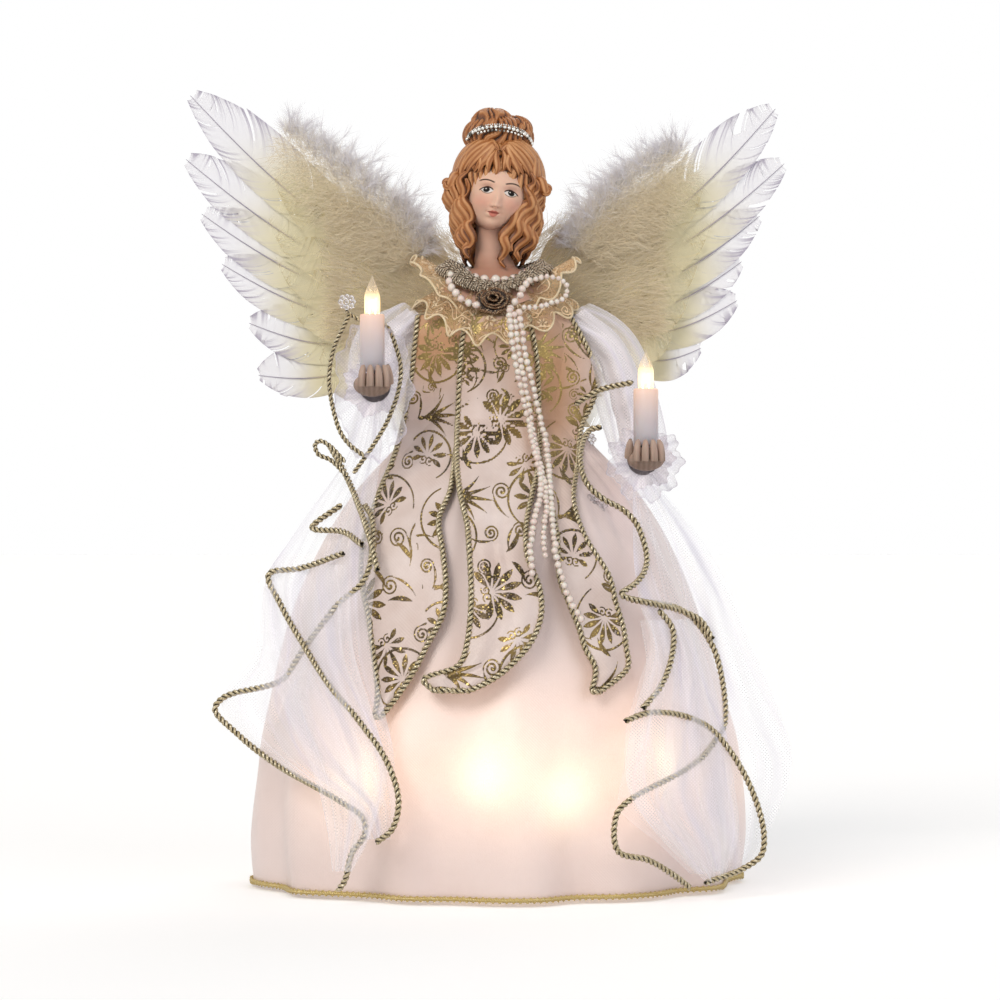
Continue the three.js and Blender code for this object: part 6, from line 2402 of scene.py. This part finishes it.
@dataclass
class Wing:
    """A wing: six long feathers, short dyed ones over their roots, and marabou along the front."""

    side: Side
    root: tuple[float, float]
    tips: tuple[tuple[float, float], ...]
    spine: tuple[tuple[float, float, float], ...]

    OUTLINE = (
        (0, 0.1), (0.1, 0.16), (0.24, 0.6), (0.42, 0.93), (0.62, 1), (0.78, 0.88), (0.9, 0.54),
        (0.97, 0.2), (1, 0.02)
    )

    LONG_WIDTH, LONG_DEPTH, LONG_BOW = 25, 33.7, 5.0
    SHORT_WIDTH, SHORT_DEPTH, SHORT_BOW = 29, 31.9, 4.0
    ROOT_FEATHERS, ROOT_LENGTH, ROOT_WIDTH, ROOT_DEPTH, ROOT_BOW = 6, 43, 26, 30.2, 3.0
    DOWN_DEPTH, DOWN_HAIRS, UNDER_HAIRS = 26.5, 9500, 6500
    PLUMES, PLUME_HAIRS = 250, 40

    def feather(
        self, start: Array, end: Array, width: float, depth: float, bow: float, seed: int,
        ragged: float = 1.0
    ) -> tuple[Mesh, Mesh]:
        """A feather in an upright plane: its vane and its quill.

        Args:
            start: (x, z) of the root.
            end: (x, z) of the tip.
            width: its full width at the widest.
            depth: the plane's y.
            bow: how far its middle stands off the straight line.
            seed: its own chance.
            ragged: how far its barbs part.

        Returns:
            The vane with "along", "barb" and "edge", and the quill with the same.
        """
        chance = jitter(seed)
        run = end - start
        length = float(np.hypot(*run))
        ahead = run / length
        over = np.array([-ahead[1], ahead[0]]) * -self.side.value

        def line(share: Array) -> Array:
            """The quill's (x, z) at a share of the feather's length."""
            return start + share[..., None] * run + (
                bow * np.sin(math.pi * np.minimum(share, 1))
            )[..., None] * over

        share = np.linspace(0, 0.965, 70)
        middle = line(share)
        quill = np.stack([middle[:, 0], np.full(70, depth - 0.3), middle[:, 1]], axis=1)
        shaft = tube(quill, 0.5 * (1 - 0.85 * share) + 0.05, 6)
        shaft.values.update(along=np.repeat(share, 6), barb=np.full(420, 0.95), edge=np.full(420, 0.5))
        rows = int(length * 2.3)
        s = np.linspace(0, 1, 10)[None, :]
        vanes = []
        for hand, part in ((1, 0.4), (-1, 0.6)):
            foot = np.linspace(0.05, 0.955, rows)
            clump = np.cumsum(chance.random(rows) < 0.055)
            calm = 1 - 0.75 * stepped(0.72, 0.95, foot)
            lean = chance.normal(0, 0.06 * ragged, clump[-1] + 1)[clump] * stepped(0.3, 0.85, foot) * calm
            trim = 1 + chance.normal(0, 0.03 * ragged, clump[-1] + 1)[clump] * calm
            angle = np.interp(foot, [0, 0.5, 0.9, 1], [1.0, 0.78, 0.55, 0.34]) + lean
            tip = foot.copy()
            for _ in range(8):
                tip = np.minimum(
                    foot + part * width * flow(self.OUTLINE, tip) / np.tan(angle) / length, 0.999
                )
            reach = part * width * flow(self.OUTLINE, tip) * trim
            along = foot[:, None] + (tip - foot)[:, None] * s ** (1.0 + 0.35 * (1 - s))
            out = reach[:, None] * (s + 0.16 * np.sin(math.pi * s))
            flat = line(along) + hand * out[..., None] * over
            ripple = calm[:, None] * (
                0.12 * np.sin(2.1 * clump)[:, None] + 0.3 * np.sin(0.8 * clump)[:, None] * s**2
            )
            y = depth + ripple + 0.7 * (s - 0.4) ** 2 * hand
            mesh = grid(np.stack([flat[..., 0], y + 0 * along, flat[..., 1]], axis=-1))
            parted = np.repeat(np.diff(clump) > 0, 9) & (np.tile(np.arange(9), rows - 1) > 2)
            mesh.faces = [mesh.faces[0][~parted]]
            tone = np.clip(np.convolve(chance.random(rows + 2) ** 3, (0.5, 1.0, 0.5), "valid"), 0, 1)
            mesh.values.update(
                along=(along + 0.1 * s * (hand < 0)).ravel(),
                barb=(tone[:, None] * (0.4 + 0.6 * s)).ravel(),
                edge=(s**12 + 0.3 * stepped(0.985, 1.0, along)).ravel(),
            )
            vanes.append(mesh)
        return together(vanes), shaft

    @staticmethod
    def hairs(
        roots: Array, heading: Array, length: Array, curl: Array, half: float, tint: Array, seed: int
    ) -> Mesh:
        """Many fine flat hairs.

        Args:
            roots: where each begins.
            heading: the way each points, of length 1.
            length: how long each is.
            curl: how far each bends off, as a share of its length.
            half: half its width at the root.
            tint: the value "along" of each, 0 dyed and 1 white.
            seed: their own chance.

        Returns:
            The mesh.
        """
        chance = jitter(seed)
        s = np.array([0, 0.36, 0.7, 1.0])[None, :, None]
        path = roots[:, None] + length[:, None, None] * (s * heading[:, None] + 0.5 * s**2 * curl[:, None])
        across = np.cross(heading, chance.normal(0, 1, heading.shape) * (0.35, 0.1, 0.35) + (0, 1, 0))
        across /= np.linalg.norm(across, axis=1, keepdims=True) + 1e-9
        wide = half * (1 - 0.75 * s) * across[:, None]
        points = np.stack([path - wide, path + wide], axis=2)
        first = (np.arange(len(roots))[:, None] * 8 + np.arange(3)[None, :] * 2).ravel()
        shade = np.repeat(chance.random(len(roots)), 8)
        faces = np.stack([first, first + 1, first + 3, first + 2], axis=1)
        return Mesh(
            points.reshape(-1, 3), [faces],
            {"along": np.repeat(tint, 8), "barb": shade, "edge": 0 * shade}
        )

    def marabou(self) -> tuple[Mesh, Mesh]:
        """Down along the wing's front: a dyed, dense body and a white fringe of plumes.

        Returns:
            The body and the fringe.
        """
        chance = jitter(21 + self.side.value)
        rows = np.array(self.spine)
        path = spline(np.stack([rows[:, 0], np.full(len(rows), self.DOWN_DEPTH), rows[:, 1]], axis=1), 200)
        radius = np.interp(np.linspace(0, 1, 200), np.linspace(0, 1, len(rows)), rows[:, 2])
        tangent = np.gradient(path, axis=0)
        tangent /= np.linalg.norm(tangent, axis=1, keepdims=True)
        up = np.cross((0, 1.0, 0), tangent) * self.side.value
        up *= np.sign(up[:, 2:3])
        outward = -tangent
        count, low = self.DOWN_HAIRS, self.UNDER_HAIRS
        k = (199 * chance.beta(1.5, 1.1, count)).astype(int)
        across = (0.6 - 2.9 * chance.beta(1.2, 2.0, count)) * radius[k]
        roots = path[k] + up[k] * across[:, None] + np.stack(
            [0 * across, chance.uniform(-4.5, 3.5, count), 0 * across], axis=1
        )
        heading = up[k] * (
            chance.normal(0.15, 0.7, count) + across / 14
        )[:, None] + outward[k] * chance.normal(0.75, 0.5, count)[:, None]
        heading[:, 1] += chance.normal(-0.15, 0.35, count)
        heading /= np.linalg.norm(heading, axis=1, keepdims=True)
        tint = np.clip(0.4 + across / (1.9 * radius[k]) * 0.7 + chance.normal(0, 0.12, count), 0, 1)
        body = self.hairs(
            roots, heading, chance.uniform(3, 7, count), chance.normal(0, 0.3, (count, 3)), 0.11, tint,
            5
        )
        place = chance.uniform(0, 1, (low, 2))
        out, rise = place.T
        behind = 30.0 - 2.5 * chance.random(low)
        spot = np.stack(
            [self.side.value * (12 + 58 * out), behind, self.root[1] - 44 + 62 * rise + 22 * out],
            axis=1
        )
        slope = chance.normal(0.2, 0.35, low) + 1.1 * (rise - 0.4)
        lie = np.stack(
            [self.side.value * np.cos(slope), -0.25 - 0.2 * chance.random(low), np.sin(slope)], axis=1
        )
        lie /= np.linalg.norm(lie, axis=1, keepdims=True)
        under = self.hairs(
            spot, lie, chance.uniform(5, 10, low), chance.normal(0, 0.2, (low, 3)), 0.16,
            chance.uniform(0, 0.3, low), 8
        )
        body = together([body, under])
        plumes, each = self.PLUMES, self.PLUME_HAIRS
        k = chance.integers(0, 200, plumes)
        stalk = (
            up[k] * chance.uniform(0.5, 1.1, plumes)[:, None]
            + outward[k] * chance.normal(0.1, 0.7, plumes)[:, None]
        )
        stalk[:, 1] = chance.normal(-0.1, 0.4, plumes)
        stalk /= np.linalg.norm(stalk, axis=1, keepdims=True)
        base = path[k] + up[k] * (radius[k] * chance.uniform(-0.4, 0.5, plumes))[:, None]
        place = np.tile(np.linspace(0, 1, each), plumes)
        stem = np.repeat(radius[k] * chance.uniform(0.25, 1.25, plumes) ** 1.2, each)
        roots = np.repeat(base, each, axis=0) + np.repeat(stalk, each, axis=0) * (stem * place)[:, None]
        heading = np.repeat(stalk, each, axis=0) + chance.normal(0, 0.3, (plumes * each, 3))
        heading /= np.linalg.norm(heading, axis=1, keepdims=True)
        length = chance.uniform(2.6, 7.5, plumes * each)
        fringe = self.hairs(
            roots, heading, length, chance.normal(0, 0.22, (plumes * each, 3)), 0.085,
            np.clip(0.5 + 0.5 * place, 0, 1), 6
        )
        return body, fringe

    def build(self, finishes: Finishes) -> None:
        """Makes the feathers and the down and puts them on the wing's body."""
        word, sign = self.side.word, self.side.value
        body = f"{word}_wing"
        start = np.array(self.root)
        for n, tip in enumerate(self.tips):
            foot, end = start + (sign * 3 * n, -6 * n), np.array(tip, float)
            vane, shaft = self.feather(
                foot, end, self.LONG_WIDTH - 0.5 * n, self.LONG_DEPTH + 1.1 * n, self.LONG_BOW,
                31 * n + 7 + sign
            )
            put(
                f"long_feather_{word}_{n + 1}", vane, finishes["feather"], body,
                [f"wing_feather_{word}_{n + 1}"]
            )
            put(f"quill_{word}_{n + 1}", shaft, finishes["quill"], body)
            low, reach = foot - (sign * 8, 4), foot + (end - foot) * (0.62 if n < 4 else 0.5)
            depth, seed = self.SHORT_DEPTH - 0.25 * n, 57 * n + 3 + sign
            short, _ = self.feather(low, reach, self.SHORT_WIDTH, depth, self.SHORT_BOW, seed, 0.3)
            put(f"short_feather_{word}_{n + 1}", short, finishes["covert"], body)
        for n in range(self.ROOT_FEATHERS):
            foot = np.array([sign * 15.0, self.root[1] - 2 - 7 * n])
            turn = 0.6 - 0.22 * n
            end = foot + self.ROOT_LENGTH * np.array([sign * math.cos(turn), math.sin(turn)])
            depth, seed = self.ROOT_DEPTH - 0.2 * n, 91 * n + 5 + sign
            root, _ = self.feather(foot, end, self.ROOT_WIDTH, depth, self.ROOT_BOW, seed, 0.2)
            put(f"root_feather_{word}_{n + 1}", root, finishes["covert"], body)
        down, fringe = self.marabou()
        put(f"down_{word}", down, finishes["down"], body, [f"marabou_{word}"])
        put(f"down_fringe_{word}", fringe, finishes["down"], body)
        log.info("%s: feathers and down", body)


# Pieces that keep their solids


CARRIED = {
    "support_cone": "shell", "light_string": "wire",
    "torso": "shell", "wing_bracket": "steel", "wing_card_left": "card",
    "wing_card_right": "card", "arm_wire_left": "steel",
    "arm_wire_right": "steel", "candle_socket_left": "socket",
    "candle_socket_right": "socket",
}


def dress_carried(finishes: Finishes) -> None:
    """Gives the solids that stay their finishes."""
    for node, finish in CARRIED.items():
        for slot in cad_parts[node].material_slots:
            slot.material = finishes[finish]
        log.info("%s keeps its solid, finished as %s", node, finish)


# Studio


@dataclass
class Studio:
    """The camera at the photograph's angle, soft even light and a plain pale floor."""

    camera_place: tuple[float, float, float] = (0.0021, -1.5, 0.16)
    lens: float = 128.57

    def camera(self) -> None:
        """Makes the scene's camera."""
        data = bpy.data.cameras.new("camera")
        data.lens = self.lens
        data.sensor_width = 36.0
        camera = bpy.data.objects.new("camera", data)
        camera.location = self.camera_place
        camera.rotation_euler = (math.pi / 2, 0, 0)
        bpy.context.scene.collection.objects.link(camera)
        bpy.context.scene.camera = camera

    def lamp(
        self, name: str, kind: str, energy: float, tint: str, place: Sequence[float],
        aim: Sequence[float], size: float
    ) -> bpy.types.Object:
        """Adds a light.

        Args:
            name: its name.
            kind: "AREA", "SUN" or "POINT".
            energy: its strength.
            tint: its colour as hex digits.
            place: where it stands, in metres.
            aim: the point that it faces.
            size: its size in metres, or its spread in radians for a sun.

        Returns:
            The light's object.
        """
        data = bpy.data.lights.new(name, kind)
        data.energy = energy
        data.color = colour(tint)[:3]
        if kind == "SUN":
            data.angle = size
        elif kind == "AREA":
            data.shape = "DISK"
            data.size = size
        else:
            data.shadow_soft_size = size
        light = bpy.data.objects.new(name, data)
        light.location = place
        light.rotation_euler = (Vector(aim) - Vector(place)).to_track_quat("-Z", "Y").to_euler()
        bpy.context.scene.collection.objects.link(light)
        return light

    @staticmethod
    def seen(w: Wiring) -> bpy.types.NodeSocket:
        """1 for a ray from the camera, straight, mirrored or passed through, and 0 for the rest."""
        rays = w.add("ShaderNodeLightPath").outputs
        straight = w.math("MAXIMUM", rays["Is Camera Ray"], rays["Is Glossy Ray"])
        return w.math("MAXIMUM", straight, rays["Is Transmission Ray"])

    def build(self) -> None:
        """Makes the world, the lights and the floor."""
        scene = bpy.context.scene
        scene.view_settings.view_transform = "Standard"
        world = bpy.data.worlds.new("studio")
        world.use_nodes = True
        scene.world = world
        w = Wiring(world.node_tree)
        back = world.node_tree.nodes["Background"]
        seen = self.seen(w)
        back.inputs["Color"].default_value = (1, 1, 1, 1)
        w.feed(back.inputs["Strength"], w.ramp(seen, 0, 1, 0.4, 1.0))
        self.lamp("key", "SUN", 1.3, "fff8f0", (-0.9, -1.6, 1.5), (0, 0, 0.15), 0.5)
        self.lamp("fill", "SUN", 0.5, "f2f4ff", (1.4, -1.3, 0.7), (0, 0, 0.15), 0.8)
        self.lamp("back", "SUN", 0.45, "ffffff", (0.5, 1.6, 1.6), (0, 0, 0.2), 0.6)
        material = bpy.data.materials.new("pale_floor")
        material.use_nodes = True
        w = Wiring(material.node_tree)
        shader = material.node_tree.nodes["Principled BSDF"]
        seen = self.seen(w)
        shader.inputs["Base Color"].default_value = (0.86, 0.86, 0.86, 1)
        shader.inputs["Roughness"].default_value = 0.9
        shader.inputs["Specular IOR Level"].default_value = 0.0
        shader.inputs["Emission Color"].default_value = (1, 1, 1, 1)
        w.feed(shader.inputs["Emission Strength"], w.math("MULTIPLY", seen, 0.35))
        span = np.array([[[-6, -6, 0], [6, -6, 0]], [[-6, 9, 0], [6, 9, 0]]], float) / MM
        floor = as_object("floor", grid(span), material)
        floor.location.z = -0.0002


# Where the lamps, drapes and wings are

LAMP_ANGLES = (-37, -2, 18, 54, 96, 140, 184, 256)
LAMP_CIRCLE = 46.06
LAMP_HEIGHT = 46
GLOW_CIRCLE = 94
GLOW_SPOTS = ((-35, 49.6), (-2, 52), (17, 44), (46, 55.6), (96, 47), (140, 47), (184, 47), (256, 47))
LEFT_DRAPE = [
    (27, -51, -41), (39, -60, -39), (51, -84, -39), (63, -102, -40), (79, -111, -44), (95, -99, -48),
    (111, -95, -49), (129, -93, -48), (143, -84, -49), (157, -75, -49), (176, -62, -47, 4)
]
LEFT_VEIL = [
    (14, -64, -56), (30, -66, -48), (52, -72, -42), (76, -84, -48), (100, -96, -56), (122, -98, -58),
    (134, -92, -60)
]
LEFT_CORD_PIXELS = (
    (
        (
            (362, 505), (371, 521), (365, 578), (335, 607), (300, 653), (279, 682), (220, 700),
            (211, 712), (234, 736), (274, 765), (341, 797), (365, 813), (367, 829), (354, 848),
            (347, 875), (340, 886)
        ),
        75
    ),
    (
        (
            (341, 554, 3), (295, 570, 3), (263, 576, 3), (276, 607, 3), (303, 650, 3), (330, 687, 3),
            (362, 722, 3), (389, 760, 3), (400, 797, 3), (394, 824, 3), (378, 838, 3)
        ),
        85
    ),
    (((338, 505, 2), (309, 528, 3), (341, 532, 4), (362, 545, 3)), 70),
    (((325, 445, 6), (345, 480, 5), (370, 540, 4), (378, 570, 3)), 70),
)
LEFT_BLEND = (140, 176)
RIGHT_DRAPE = [
    (11, 102, 78), (23, 109, 66), (39, 116, 49), (55, 120, 51), (71, 116, 52), (87, 110, 57),
    (103, 103, 62), (119, 98, 58), (135, 90, 56), (150, 80, 56)
]
RIGHT_VEIL = [(8, 84, 92), (26, 66, 98), (48, 52, 96), (72, 54, 92), (94, 60, 86), (112, 58, 80)]
RIGHT_CORD_PIXELS = (
    (((577, 402, 8), (601, 388, 12), (635, 380, 18)), 60),
    (
        (
            (604, 425, 10), (593, 428, 8), (582, 455, 6), (588, 483, 5), (603, 498, 5), (626, 511, 4),
            (638, 524, 4), (645, 542, 3), (648, 559, 2), (645, 572, 2), (635, 584, 2), (621, 594, 2),
            (653, 604, 2), (683, 612, 2), (703, 622, 2), (714, 640, 2)
        ),
        70
    ),
    (
        (
            (631, 600), (688, 614), (715, 646), (727, 692), (727, 729), (720, 740), (704, 758),
            (681, 772), (628, 797), (615, 811), (616, 846), (647, 857), (672, 873), (690, 888)
        ),
        80
    ),
    (
        (
            (624, 719, 3), (647, 712, 3), (683, 716, 3), (715, 733, 3), (743, 770, 3), (761, 811, 3),
            (767, 841, 3), (764, 859, 3), (748, 871, 3), (706, 884, 3)
        ),
        80
    ),
    (((660, 611, 4), (674, 630, 4), (672, 660, 4), (660, 687, 4), (642, 707, 4)), 80),
)
RIGHT_BLEND = (118, 150)
WINGS = (
    Wing(
        Side.LEFT, (-33, 252),
        ((-134, 337), (-136, 309), (-129, 285), (-120, 263), (-108, 237), (-104, 214)),
        ((-90, 318, 7), (-66, 301, 11), (-44, 282, 11), (-31, 266, 7))
    ),
    Wing(
        Side.RIGHT, (36, 254), ((123, 331), (127, 307), (116, 284), (108, 264), (106, 247), (90, 226)),
        ((80, 310, 7), (62, 298, 11), (46, 284, 11), (33, 268, 7))
    ),
)


def main() -> None:
    """Builds the topper's pieces in order."""
    logging.basicConfig(level=logging.INFO, format="%(message)s")
    studio = Studio()
    studio.camera()
    lamps = []
    for spot, height in GLOW_SPOTS:
        turn = math.radians(spot)
        lamps.append(
            (Vector((GLOW_CIRCLE * math.sin(turn), -GLOW_CIRCLE * math.cos(turn), height)) * MM, 1.0)
        )
    finishes = Finishes(lamps)
    Skirt().build(finishes)
    Robe(brocade_ornament()).build(finishes)
    collar = Collar()
    collar.build(finishes)
    Head().build(finishes, collar)
    for arm in ARMS:
        arm.build(finishes)
    for n, angle in enumerate(map(math.radians, LAMP_ANGLES)):

        def seated(mesh: Mesh, turn: float = angle) -> Mesh:
            """A lamp's mesh laid down and turned out from the cone."""
            place = (LAMP_CIRCLE * math.sin(turn), -LAMP_CIRCLE * math.cos(turn), LAMP_HEIGHT)
            return mesh.turned(math.pi / 2, "X").turned(turn, "Z").moved(place)

        Lamp().build(f"skirt_lamp_{n + 1}", f"skirt_bulb_{n + 1}", f"skirt_lamp_{n + 1}", seated, finishes)
    drapes = (
        (LEFT_DRAPE, LEFT_VEIL, LEFT_CORD_PIXELS, LEFT_BLEND),
        (RIGHT_DRAPE, RIGHT_VEIL, RIGHT_CORD_PIXELS, RIGHT_BLEND),
    )
    for arm, (rows, veil, routes, blend) in zip(ARMS, drapes):
        cords = [front_points(pixels, depth) for pixels, depth in routes]
        Drape(arm, rows, veil, cords, *blend).build(finishes)
    for wing in WINGS:
        wing.build(finishes)
    dress_carried(finishes)
    studio.build()


if __name__ == "__main__":
    main()
